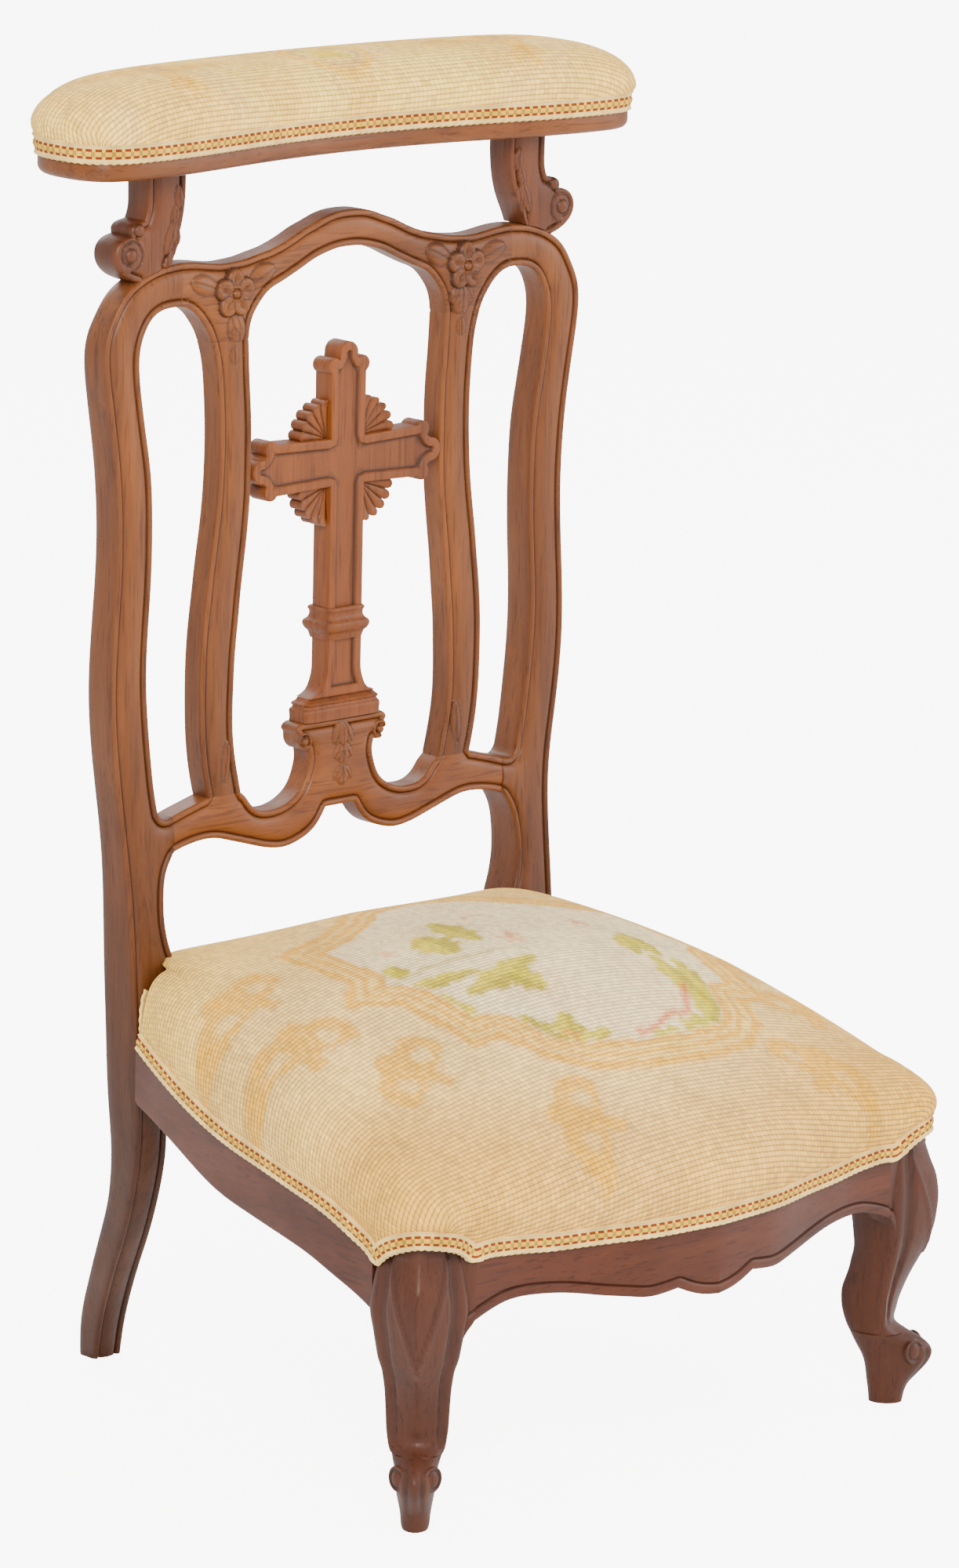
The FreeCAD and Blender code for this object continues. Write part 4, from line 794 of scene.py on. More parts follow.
FAN_REACH, FAN_FLUTES, FAN_BACK = 27.0, 5, 13.0
RINGS, AROUND = 16, 70
verts, faces, tones = [], [], []
for sx, sz in ((1, 1), (-1, 1), (-1, -1), (1, -1)):
    base = len(verts)
    for j in range(RINGS + 1):
        share = j / RINGS
        for i in range(AROUND + 1):
            turn = math.pi / 2 * i / AROUND
            ridge = math.sqrt(abs(math.sin(math.pi * (i / AROUND) * FAN_FLUTES)))
            r = FAN_REACH * (0.865 + 0.135 * ridge) * j / RINGS
            high = 3.3 - 2.4 * ridge * share - 1.3 * max(0, share - 0.86) / 0.14
            verts.append((sx * 15.0 + sx * r * math.cos(turn), high + 0.8,
                          ARM_Z + sz * 16.0 + sz * r * math.sin(turn)))
            # painted shade in the hollows between the flutes and towards their root
            tones.append(0.65 * (1 - ridge) * (0.4 + 0.6 * share) + 0.25 * (1 - share))
    faces += quads(RINGS + 1, AROUND + 1, base=base)
    loop = [base + RINGS * (AROUND + 1) + i for i in range(AROUND + 1)] + [base]
    behind = range(len(verts), len(verts) + len(loop))
    verts += [(verts[index][0], FAN_BACK, verts[index][2]) for index in loop]
    tones += [0.3] * len(loop)
    for k in range(len(loop)):
        n = (k + 1) % len(loop)
        faces.append([loop[k], loop[n], behind[n], behind[k]])
    faces.append(list(behind))
rays = straighten(mesh_object("cross_rays_fluted", verts, faces, 40, tones))
finish(rays, cross_wood, "walnut_carved", "cross_rays")


def stacked(name, node, profile, half_depth, centre_y):
    """A block with one moulding on all four sides: profile rows are (z, half width)."""
    plan, squareness = 36, 10.0
    rows = spline(profile, 0.7)
    verts = []
    for z, half in rows:
        deep = half_depth + (half - profile[0][1])
        for k in range(plan):
            turn = math.tau * (k + 0.5) / plan
            c, s = math.cos(turn), math.sin(turn)
            m = (abs(c) ** squareness + abs(s) ** squareness) ** (-1 / squareness)
            verts.append((c * m * half, centre_y + s * m * deep, z))
    piece = straighten(mesh_object(name, verts, tube(len(rows), plan), 30, [0.15] * len(verts)))
    finish(piece, cross_wood, "walnut", node)


stacked("cross_collar_turned", "cross_collar",
        [(498, 15.6), (500, 16.2), (502.5, 17.0), (504, 18.3), (506, 19.4), (508, 19.8), (510, 19.2), (511.4, 17.6),
         (513, 16.6), (515.5, 16.2), (517, 16.6), (518.4, 17.2), (520, 16.2)],
        DEPTH / 2 + 1.2, DEPTH / 2 - 0.4)
stacked("cross_plinth_moulded", "cross_plinth",
        [(443.6, 34.2), (448, 34.2), (451.4, 34.0), (452.6, 32.9), (454.2, 32.6), (455.2, 33.4), (456.2, 32.6),
         (457.8, 30.8), (459.6, 29.8)],
        (DEPTH + 3.0) / 2, DEPTH / 2 - 0.5)

# ------------------------------------------------------------------ arm posts

BOARD_Z = near_box("arm_board")[0].z
POST_INNER = [(143.6, BOARD_Z), (143.6, 816), (144.4, 804), (146.6, 792), (150.4, 781), (155, 771.6), (158, 764.6)]
POST_SEAT = [(158, 764.6), (167, 762.3), (176, 759.3), (184, 755.6)]
POST_VOLUTE = [(184, 755.6), (190, 757.8), (196.6, 761.2), (202, 766.4), (204.5, 773.4), (203.4, 779.4),
               (199.6, 783.8), (194.6, 786), (190.4, 786.8)]
POST_BUD = [(190.4, 786.8), (190.6, 790.4), (187.6, 793.8), (183, 795), (178.8, 796)]
POST_OUTER = [(178.8, 796), (177, 801), (176.2, 812), (176.5, BOARD_Z)]
POST_DEPTH = near_box("arm_post_left")[1].y
post_line, post_flags = closed_loop(
    [(POST_INNER, True), (POST_SEAT, False), (POST_VOLUTE, True), (POST_BUD, True), (POST_OUTER, True),
     ([POST_OUTER[-1], POST_INNER[0]], False)], 1.1)


def post_carving(points):
    """A volute with a raised eye at the foot, and an acanthus leaf up the inner edge."""
    carving = Carving(points)
    side = 1 if points[:, 0].mean() > 0 else -1
    x, z = side * 191.4, 774.2
    r = carving.away(x, z)
    turn = np.mod(np.arctan2(points[:, 1] - z, side * (points[:, 0] - x)) / math.tau + 0.25, 1.0)
    # the volute's spiral groove, sunk and painted with shade
    cut = bell(r - (6.4 + 4.6 * turn), 0.75) * (r < 12.6)
    carving.lay(1.0 - 2.2 * cut, smoothstep((12.6 - r) / 2.2), 0.85 * cut)
    carving.boss(x, z, 5.0, 3.4)
    carving.boss(side * 184.4, 790.0, 4.2, 2.2)
    for k in range(4):
        carving.leaf(side * (151.5 + 0.8 * k), 818 - 13 * k, 17, 8, 270 - side * (4 - 16 * (k % 2)), 2.6)
    carving.leaf(side * 153, 796, 26, 9.5, 270 + side * 20, 3.0)
    return carving.result()


for label, side in SIDES:
    line, flags = on_side(post_line, post_flags, side)
    post = sawn("arm_post_" + label + "_carved", line, flags, FACE, at_depth(POST_DEPTH), relief=post_carving,
                carve=[(*line.min(0), *line.max(0), 0.8)])
    finish(post, post_wood, "walnut", "arm_post_" + label)

# ------------------------------------------------------------------ arm board and its braid

BOARD_FRONT = [(0, -6), (60, -9.5), (120, -19), (165, -26.5), (200, -28.5), (220, -26.5)]
BOARD_END = [(220, -26.5), (234, -19), (241, -6), (242.6, 11), (241, 28), (232, 46), (214, 60)]
BOARD_BACK = [(214, 60), (170, 75), (100, 85), (0, 89)]
board_round = BOARD_FRONT + BOARD_END[1:] + BOARD_BACK[1:-1] + mirror(
    (BOARD_FRONT[1:] + BOARD_END[1:] + BOARD_BACK[1:])[::-1])


def taken(at, run, points):
    """The polyline's points at these distances along it, run being its own points' distances."""
    return np.stack([np.interp(at, run, points[:, k]) for k in range(points.shape[1])], 1)


def loop_through(points, step):
    """A smooth closed curve through the points: a spline carried past both ends, then cut back."""
    curve = spline(points[-4:] + points + points[:5], step * 0.25)
    start = np.linalg.norm(curve - np.array(points[0]), axis=1)
    half = len(curve) // 2
    part = curve[int(np.argmin(start[:half])):half + int(np.argmin(start[half:]))]
    run = run_of(part)
    return taken(np.linspace(0, run[-1], int(run[-1] / step), endpoint=False), run, part)


kidney = loop_through(board_round, 2.5)
kidney_out = outward(kidney)
BOARD_TOP = near_box("arm_board")[1].z
BOARD_ROUND = 5.5           # radius of the board's lower edge
rows = [(BOARD_Z + BOARD_ROUND - BOARD_ROUND * math.cos(math.radians(a)),
         -BOARD_ROUND + BOARD_ROUND * math.sin(math.radians(a))) for a in range(0, 91, 15)]
rows += [(BOARD_Z + 10.5, 0.0), (BOARD_Z + 12.0, -0.6), (BOARD_TOP, -0.6)]
verts = [(x, y, z) for z, grow in rows for x, y in kidney + kidney_out * grow]
board = straighten(mesh_object("arm_board_rounded", verts, tube(len(rows), len(kidney)), 35, [0.05] * len(verts)))
finish(board, level, "walnut", "arm_board")


def ribbon(name, tops, bottoms, normals, closed, thick):
    """Braid between an upper and a lower line: cords at both edges, a ladder between them, scallops below."""
    rows, scallop, twist_length = 16, 5.6, 2.8
    along = run_of(tops)
    n = len(tops)
    verts, uvs = [], []
    for j in range(rows + 1):
        rise = 1 - j / rows
        high = 0.42 + 0.62 * bell(rise - 0.92, 0.055) + 0.5 * bell(rise - 0.08, 0.06) + 0.45 * bell(rise - 0.5, 0.16)
        high = thick * high if 0 < j < rows else 0.0
        wave = np.abs(np.sin(along / scallop * math.pi)) if rise < 0.2 else np.ones(n)
        twist = 1 + 0.16 * np.sin(along * math.tau / twist_length) * (1 if 0.15 < rise < 0.85 else 0.5)
        lowest = bottoms - (tops - bottoms) * 0.07 * (wave[:, None] - 0.4) * (1 if rise < 0.12 else 0)
        verts.extend(tops * rise + lowest * (1 - rise) + normals * (high * twist)[:, None])
        uvs.extend((s, rise) for s in along)
    # a plain back, so that the braid is closed
    faces = quads(rows + 1, n, closed)
    back = len(verts)
    verts.extend([*tops, *bottoms])
    uvs.extend([*((s, 1.0) for s in along), *((s, 0.0) for s in along)])
    for k in range(n if closed else n - 1):
        m = (k + 1) % n
        faces += [[back + k, back + n + k, back + n + m, back + m], [k, back + k, back + m, m],
                  [rows * n + k, rows * n + m, back + n + m, back + n + k]]
    return straighten(mesh_object(name, verts, faces, 50, uvs=uvs))


band = loop_through(board_round, 0.95)
band_out = outward(band)
upper = np.c_[band + band_out * 1.6, np.full(len(band), BOARD_TOP + 2.4)]
under = np.c_[band + band_out * 0.3, np.full(len(band), BOARD_Z + 12.2)]
arm_braid = ribbon("arm_gimp_braid", upper, under, np.c_[band_out, np.zeros(len(band))], True, 2.2)
finish(arm_braid, braid, "braid", "arm_gimp")

# ------------------------------------------------------------------ cushions

def coons(front, right, back, left, n, m):
    """A grid over four edges; front and back run left to right, left and right run front to back."""
    def shares(count):
        even = np.linspace(0, 1, count)
        return 0.42 * (0.5 - 0.5 * np.cos(even * math.pi)) + 0.58 * even

    def at(points, share):
        run = run_of(points[:, :2])
        evenly = taken(np.linspace(0, run[-1], 400), run, points)
        return taken(share * 399, np.arange(400), evenly)

    u, v = shares(n), shares(m)
    f, b = at(front, u), at(back, u)
    l, r = at(left, v), at(right, v)
    U = u[None, :, None]
    V = v[:, None, None]
    grid = (1 - V) * f[None] + V * b[None] + (1 - U) * l[:, None] + U * r[:, None]
    corners = ((1 - U) * (1 - V) * f[0] + U * (1 - V) * f[-1] + (1 - U) * V * b[0] + U * V * b[-1])
    return grid - corners, u, v


def paced(points, axis):
    """Length measured over the surface along one way of the grid, from its middle line outwards."""
    steps = np.linalg.norm(np.diff(points, axis=axis), axis=2)
    zero = np.zeros_like(np.take(steps, [0], axis=axis))
    total = np.concatenate([zero, np.cumsum(steps, axis=axis)], axis=axis)
    return total - np.take(total, [points.shape[axis] // 2], axis=axis)


def cushion(name, points, colors, uvs, nodes, pressure):
    """A stuffed pad: a grid of points, its border held, blown up a little by a cloth simulation."""
    m, n = points.shape[:2]
    piece = mesh_object(name, points.reshape(-1, 3), quads(m, n), 180, None, colors, uvs)
    held = piece.vertex_groups.new(name="held")
    i, j = np.arange(n), np.arange(m)
    ring = np.minimum(np.minimum(i, n - 1 - i), np.minimum(j, m - 1 - j)[:, None]).ravel()
    for chosen, hold in ((ring == 0, 1.0), (ring == 1, 0.9), (ring > 1, 0.55)):
        held.add(np.flatnonzero(chosen).tolist(), hold, "REPLACE")
    cloth = piece.modifiers.new("stuffing", "CLOTH")
    for key, value in dict(vertex_group_mass="held", pin_stiffness=1.0, quality=5, mass=0.3,
                           tension_stiffness=30, compression_stiffness=30, shear_stiffness=10,
                           bending_stiffness=3, air_damping=8, use_pressure=True,
                           uniform_pressure_force=pressure).items():
        setattr(cloth.settings, key, value)
    cloth.settings.effector_weights.gravity = 0.0
    cloth.collision_settings.use_collision = False
    frames = 14
    cloth.point_cache.frame_start, cloth.point_cache.frame_end = 1, frames
    scene = bpy.context.scene
    for step in range(1, frames + 1):
        scene.frame_set(step)
    graph = bpy.context.evaluated_depsgraph_get()
    shaped = bpy.data.meshes.new_from_object(piece.evaluated_get(graph), preserve_all_data_layers=True,
                                             depsgraph=graph)
    piece.modifiers.clear()
    old = piece.data
    piece.data = shaped
    bpy.data.meshes.remove(old)
    piece.vertex_groups.clear()
    scene.frame_set(1)
    finish(piece, needle, "needlework", *nodes)

# ------------------------------------------------------------------ colours of the needlework, as counted stitches

SAND = np.array((0.92, 0.59, 0.125))
GOLD = np.array((0.86, 0.43, 0.012))
CREAM = np.array((0.96, 0.77, 0.42))
GREY = np.array((0.64, 0.45, 0.19))
OLIVE = np.array((0.42, 0.35, 0.006))
ROSE = np.array((0.78, 0.16, 0.045))
BROWN = np.array((0.33, 0.20, 0.09))


def hashed(a, b, seed=0.0):
    """A repeatable value from 0 to 1 for each pair of whole numbers."""
    return np.mod(np.abs(np.sin(a * 12.9898 + b * 78.233 + seed * 37.719)) * 43758.5453, 1.0)


def drift(x, y, scale, seed=0.0):
    """Smooth random variation over the plane."""
    gx, gy = x / scale, y / scale
    ix, iy = np.floor(gx), np.floor(gy)
    fx, fy = smoothstep(gx - ix), smoothstep(gy - iy)
    a = hashed(ix, iy, seed) * (1 - fx) + hashed(ix + 1, iy, seed) * fx
    b = hashed(ix, iy + 1, seed) * (1 - fx) + hashed(ix + 1, iy + 1, seed) * fx
    return a * (1 - fy) + b * fy


def paint(base, mask, color, amount=1.0):
    w = (np.clip(mask, 0, 1) * amount)[:, None]
    return base * (1 - w) + np.asarray(color) * w


def star(x, y, cx, cy, size, arms=4, turn=0.0):
    """Soft star or quatrefoil, 1 inside and falling to 0 outside."""
    r = np.hypot(x - cx, y - cy) / size
    a = np.arctan2(y - cy, x - cx) + turn
    reach = 0.42 + 0.58 * np.abs(np.cos(a * arms / 2)) ** 3
    return smoothstep((reach - r) * 5 + 0.5)


def lily(x, y, cx, cy, size):
    """A small three-lobed sprig."""
    u, v = (x - cx) / size, (y - cy) / size
    middle = smoothstep((0.26 - np.abs(u)) * 8) * (np.abs(v) < 1.0) * (v > -0.9)
    tip = smoothstep((1.0 - np.hypot(u / 0.42, (v - 0.45) / 0.62)) * 4 + 0.4)
    lobes = [smoothstep((0.30 - np.abs(np.hypot(u - way * 0.62, v - 0.05) - 0.48)) * 7) * (v > -0.35)
             for way in (-1, 1)]
    tie = smoothstep((0.12 - np.abs(v + 0.32)) * 12) * (np.abs(u) < 0.6)
    return np.clip(np.maximum.reduce([middle, tip, *lobes, tie]), 0, 1)


def counted(x, y, cell=3.0):
    """The middle of the stitch that each point lies in, and a speckle that differs from stitch to stitch."""
    gx, gy = np.floor(x / cell), np.floor(y / cell)
    return (gx + 0.5) * cell, (gy + 0.5) * cell, lambda seed: hashed(gx, gy, seed)


SEAT_CENTRE = (34.0, -160.0)
# the cartouche's right half, from its rear peak round to its front lobe, about the pattern's centre
CARTOUCHE = [(0, 157), (54, 137), (74, 117), (109, 97), (154, 87), (154, 17), (177, -6), (146, -28), (135, -84),
             (110, -86), (99, -113), (73, -133), (34, -142), (0, -144)]
cartouche_line, cartouche_flags = closed_loop([(list(pair), True) for pair in zip(
    CARTOUCHE + mirror(CARTOUCHE[1:-1])[::-1], (CARTOUCHE + mirror(CARTOUCHE[1:-1])[::-1])[1:] + CARTOUCHE[:1])], 6.0)


def cartouche(x, y):
    """Distance in from the cartouche's outline, negative outside."""
    points = np.c_[x - SEAT_CENTRE[0], y - SEAT_CENTRE[1]]
    d = distance(points, *segments(cartouche_line, cartouche_flags))
    return np.where(inside(points, cartouche_line), d, -d)


# leaves on the cream field: start x and y, length, width, direction
SEAT_LEAVES = [
    (-1, -144, 54, 23, 92), (-34, -152, 40, 32, 88), (-92, -162, 24, 16, 62), (-82, -162, 16, 12, 104),
    (-104, -178, 66, 12, -3), (-68, -203, 84, 19, 15), (-22, -190, 30, 22, -66), (-84, -190, 62, 13, -82),
    (-40, -282, 48, 19, 62), (-44, -282, 50, 19, 96), (-48, -278, 46, 17, 126), (-36, -284, 42, 16, 30),
    (-34, -285, 64, 21, -4), (14, -287, 60, 24, 3), (56, -285, 48, 24, 22), (90, -270, 44, 22, 50),
    (106, -256, 70, 18, 86), (117, -252, 62, 13, 79), (98, -190, 36, 18, 68), (120, -192, 42, 13, 96),
]
# sprigs round the cartouche: x, y and turn
SEAT_SPRIGS = [(-175, -105, 20), (-187, -177, -14), (-149, -243, 34), (-75, -325, 58), (144, -317, -40),
               (203, -112, 10), (214, -188, 30), (196, -252, -20)]
ROSE_EDGE = np.array([(20, -273), (45, -266), (62, -259), (80, -257), (92, -241), (106, -226)], float)


def seat_colors(x, y):
    """Sandy ground with gold sprigs, round a cream cartouche with trees, leaves and a rose edge."""
    x, y, speckle = counted(x, y)
    out = SAND[None] * (0.93 + 0.14 * drift(x, y, 46)[:, None])
    out = paint(out, smoothstep(drift(x, y, 60, 2) * 2.2 - 1.0), GREY, 0.30)
    # darker and yellower towards the front edge of the seat
    front_darkening = smoothstep((-262 - y + 0.25 * np.abs(x)) / 90.0)[:, None]
    out = out * (1 - front_darkening * (0.12, 0.24, 0.44))
    worn = smoothstep(1.5 - np.hypot((x - 6) / 190, (y + 190) / 150))
    out = paint(out, worn, SAND * (1.03, 1.14, 2.1), 0.8)
    for cx, cy, turn in SEAT_SPRIGS:
        c, s = math.cos(math.radians(turn)), math.sin(math.radians(turn))
        u, v = (x - cx) * c + (y - cy) * s, -(x - cx) * s + (y - cy) * c
        out = paint(out, lily(u + 1.5, v + 2.5, 0, 0, 29), BROWN, 0.20)
        out = paint(out, lily(u, v, 0, 0, 27) * (0.55 + 0.45 * speckle(21)), GOLD, 0.92)
    c = cartouche(x, y)
    field = CREAM[None] * (0.95 + 0.09 * drift(x, y, 26, 9)[:, None])
    field = paint(field, smoothstep(drift(x, y, 34, 11) * 2.6 - 1.2), CREAM * (1.0, 0.90, 0.86), 0.5)
    out = paint(out, smoothstep(c / 2.0 + 0.5), field)
    for edge, wide, color in ((3.2, 4.4, GOLD), (9.0, 2.2, SAND * 1.08), (13.2, 3.0, GOLD),
                              (17.6, 2.2, SAND * 1.08), (21.6, 3.0, GOLD)):
        out = paint(out, np.exp(-((c - edge) / wide) ** 4), color, 0.94)
    inner = smoothstep((c - 24) / 3)
    for sx, sy, length, wide, turn in SEAT_LEAVES:
        t = math.radians(turn)
        u = ((x - sx) * math.cos(t) + (y - sy) * math.sin(t)) / length
        w = (-(x - sx) * math.sin(t) + (y - sy) * math.cos(t)) / (wide * 0.70)
        half = np.sin(np.clip(u, 0, 1) * math.pi) ** 0.7 * (0.84 + 0.16 * np.sin(u * 22))
        body = smoothstep((half - np.abs(w)) * 4 + 0.4) * ((u > 0) & (u < 1))
        shade = OLIVE[None] * (1.0 + 0.45 * (w > 0)[:, None] + 0.25 * drift(x, y, 12, 4)[:, None])
        out = out * (1 - (body * inner)[:, None] * 0.94) + shade * (body * inner)[:, None] * 0.94
    rose = distance(np.c_[x, y], ROSE_EDGE[:-1], ROSE_EDGE[1:])
    out = paint(out, bell(rose, 2.6) * inner, ROSE, 0.85)
    ground = bell(y + 164 - 5 * np.sin((x + 90) / 30), 2.0) * (x > -104) * (x < 18)
    out = paint(out, ground * inner, OLIVE * 0.9, 0.6)
    arch = bell(np.hypot(x - 38, y + 99) - 11, 2.4) * (y > -99)
    out = paint(out, arch * inner, BROWN * (1.6, 0.9, 0.7), 0.6)
    for fx, fy, size in ((22, -148, 11), (30, -138, 8), (-68, -124, 9), (102, -126, 10), (-30, -262, 8)):
        out = paint(out, star(x, y, fx, fy, size, 5) * inner, ROSE * 1.1, 0.45)
    return np.clip(out * (0.94 + 0.12 * speckle(3.0))[:, None], 0.01, 0.95)


def arm_colors(x, y):
    """Sand ground in faint rows with faded stars, and one plain knot ornament in the middle."""
    x, y, speckle = counted(x, y)
    out = SAND[None] * (0.95 + 0.2 * drift(x, y, 32, 1)[:, None]) * 1.06
    out = paint(out, smoothstep(drift(x, y, 24, 4) * 2.6 - 1.3), GREY * 1.3, 0.35)
    for cx in (-150, 150):
        out = paint(out, star(x, y, cx, 26, 36, 4), GOLD * 1.15, 0.55)
        out = paint(out, star(x, y, cx, 26, 15, 4, 0.78), BROWN * 1.5, 0.45)
        for dx, dy in ((-46, 0), (46, 0), (0, 34), (0, -34)):
            out = paint(out, lily(x, y, cx + dx, 26 + dy, 11), GOLD, 0.5)
    r = np.hypot(x / 1.15, y - 30)
    out = paint(out, bell(r - 27, 2.6), GOLD * 1.2, 0.8)
    out = paint(out, bell(r - 21, 1.8), BROWN * 1.5, 0.6)
    out = paint(out, star(x, y, 0, 30, 20, 4, 0.785), OLIVE * 1.6, 0.7)
    out = paint(out, star(x, y, 0, 30, 11, 4), GOLD * 1.4, 0.8)
    return np.clip(out * (0.93 + 0.14 * speckle(7.0))[:, None], 0.01, 1)


# ------------------------------------------------------------------ arm pad

PAD_Z = BOARD_TOP + 1.2
pad_line = kidney + kidney_out * 2.4
FRONT_LEFT, FRONT_RIGHT, BACK_RIGHT, BACK_LEFT = (-236, -22), (236, -22), (226, 56), (-226, 56)


def pad_edge(start, end):
    """The pad's edge between the points nearest start and end, the short way round."""
    count = len(pad_line)
    a, b = (int(np.argmin(np.linalg.norm(pad_line - np.array(point), axis=1))) for point in (start, end))
    forward = [pad_line[(a + k) % count] for k in range((b - a) % count + 1)]
    backward = [pad_line[(a - k) % count] for k in range((a - b) % count + 1)]
    part = np.array(min(forward, backward, key=len))
    return np.c_[part, np.full(len(part), PAD_Z)]


pad_grid, pu, pv = coons(pad_edge(FRONT_LEFT, FRONT_RIGHT), pad_edge(FRONT_RIGHT, BACK_RIGHT),
                         pad_edge(BACK_LEFT, BACK_RIGHT), pad_edge(FRONT_LEFT, BACK_LEFT), 210, 62)
rise = near_box("arm_cover")[1].z - PAD_Z - 1.0
full_u, full_v = (np.maximum(1 - np.abs(2 * share - 1) ** power, 0) for share, power in ((pu, 9.0), (pv, 3.0)))
lift = np.zeros_like(pad_grid)
lift[..., 2] = rise * (full_u[None, :] * full_v[:, None]) ** 0.52
# gathers where the cover is drawn in at the rounded ends
rim = np.minimum(np.minimum(pu, 1 - pu)[None, :] * 5, np.minimum(pv, 1 - pv)[:, None] * 1.2)
ends = smoothstep((np.abs(pad_grid[..., 0]) - 205) / 26)
turn = np.arctan2(pad_grid[..., 1] - 25, np.abs(pad_grid[..., 0]) - 196)
lift[..., 2] -= 1.3 * ends * bell(rim, 0.22) * np.sin(turn * 17) * smoothstep(rim / 0.03)
# and the sides swell out over the board's edge
swell = 3.4 * bell(rim, 0.16) * smoothstep(rim / 0.02)
direction = pad_grid[..., :2] - np.array((0, 28.0))
direction[..., 0] = np.sign(direction[..., 0]) * np.maximum(np.abs(direction[..., 0]) - 170, 0)
direction /= np.maximum(np.linalg.norm(direction, axis=2), 1e-6)[..., None]
lift[..., :2] += direction * swell[..., None]
raised = pad_grid + lift
cushion("arm_cover_stitched", raised, arm_colors(*pad_grid.reshape(-1, 3).T[:2]),
        np.c_[paced(raised, 1).ravel(), paced(raised, 0).ravel()], ("arm_cover", "arm_stuffing"), 0.6)

# ------------------------------------------------------------------ seat frame

FRONT_PLAN = table([(0, -374), (33, -371.2), (60, -367.6), (90, -359.4), (108, -355), (130, -350), (150, -346.4),
                    (187.5, -344.4), (200, -344)])
RAIL_TOP = near_box("front_rail")[1].z
FRONT_LOW = [(187.5, 137.4), (180, 140.4), (170, 143.7), (160, 146), (151, 146.7), (140, 146.6), (130, 146),
             (108, 143), (91, 139.5), (70, 136), (56, 134.2), (45, 135), (33.5, 136.6)]
FRONT_CUSP = [(33.5, 136.6), (22, 131.6), (10, 128.4), (0, 127.2)]
front_runs = symmetric([([(0, RAIL_TOP), (187.5, RAIL_TOP)], False), ([(187.5, RAIL_TOP), (187.5, 137.4)], False),
                        (FRONT_LOW, True), (FRONT_CUSP, True)])
front_line, front_flags = closed_loop(front_runs, 1.5)


def rail_profile(d):
    """A thick rounded bead on the lower edge, a quirk, then a plain face."""
    r = 3.5
    bead = 1.9 - 1.9 * np.sqrt(np.maximum(0, 1 - ((np.clip(d, 0, 2 * r) - r) / r) ** 2)) - 0.4
    field = 1.5 * np.exp(-np.maximum(d - 7.0, 0) / 0.8) + 0.6
    blend = np.clip((d - 6.5) / 0.8, 0, 1)
    return bead * (1 - blend) + field * blend


# painted shade in the quirk above the bead, and a little along the lower edge
def rail_tone(d):
    return 0.65 * bell(d - 7.1, 0.8) + 0.2 * bell(d, 0.7)


RAIL_ROWS = (0.25, 0.8, 1.8, 3.5, 5.2, 6.2, 6.7, 7.1, 7.6, 8.6)
front_rail = sawn("front_rail_scalloped", front_line, front_flags, lambda u, v: FRONT_PLAN(np.abs(u)),
                  lambda u, v: FRONT_PLAN(np.abs(u)) + 25.8, profile=rail_profile, rows=(*RAIL_ROWS, 11.0),
                  tone=rail_tone, fill=7.0)
finish(front_rail, rail_wood, "walnut", "front_rail")

SIDE_PLAN = table([(-310, 237.6), (-299.5, 236), (-265, 232.8), (-229.6, 229), (-195, 224.2), (-160, 219),
                   (-125, 213), (-90, 206), (-50, 198), (-11, 190), (0, 187.8)])
LEG_Y = near_box("side_rail_right")[0].y
SIDE_LOW = [(LEG_Y, 142.2), (-277, 150), (-255, 156), (-232, 161.8), (-209, 165.6), (-185, 168.6), (-161, 171.6),
            (-135, 174.8), (-110, 179.6), (-84, 187.4), (-57, 196.4), (-30, 204.6), (-13, 209)]
GIMP_SIDE = [(-304, 175), (-288.6, 181.4), (-266, 189.5), (-244, 195.6), (-221, 199.4), (-197, 203), (-173, 206.5),
             (-148, 209.8), (-122.5, 213.9), (-100, 218.6), (-78, 224.4), (-52, 233), (-26, 243), (-13, 248.4)]
gimp_side = table(GIMP_SIDE)
GIMP_WIDE = 12.6
side_top = [(y, gimp_side(y) + 4.0) for y in np.linspace(-13, LEG_Y, 14)]
side_runs = [(SIDE_LOW, True), ([SIDE_LOW[-1], tuple(side_top[0])], False), (side_top, False),
             ([tuple(side_top[-1]), SIDE_LOW[0]], False)]
side_line, side_flags = closed_loop(side_runs, 2.2)
for label, side in SIDES:
    rail = sawn("side_rail_" + label + "_shaped", side_line, side_flags, lambda u, v: -SIDE_PLAN(u),
                lambda u, v: -SIDE_PLAN(u) + 24, profile=plain_profile(2.2), rows=PLAIN_ROWS, tone=lambda d: 0 * d,
                axes="yz", fill=9.0)
    if side > 0:
        rail.data.transform(Matrix.Scale(-1, 4, Vector((1, 0, 0))))
    finish(straighten(rail), side_wood, "walnut", "side_rail_" + label)

# ------------------------------------------------------------------ front legs

SOLE = np.array((215.5, -321.7))
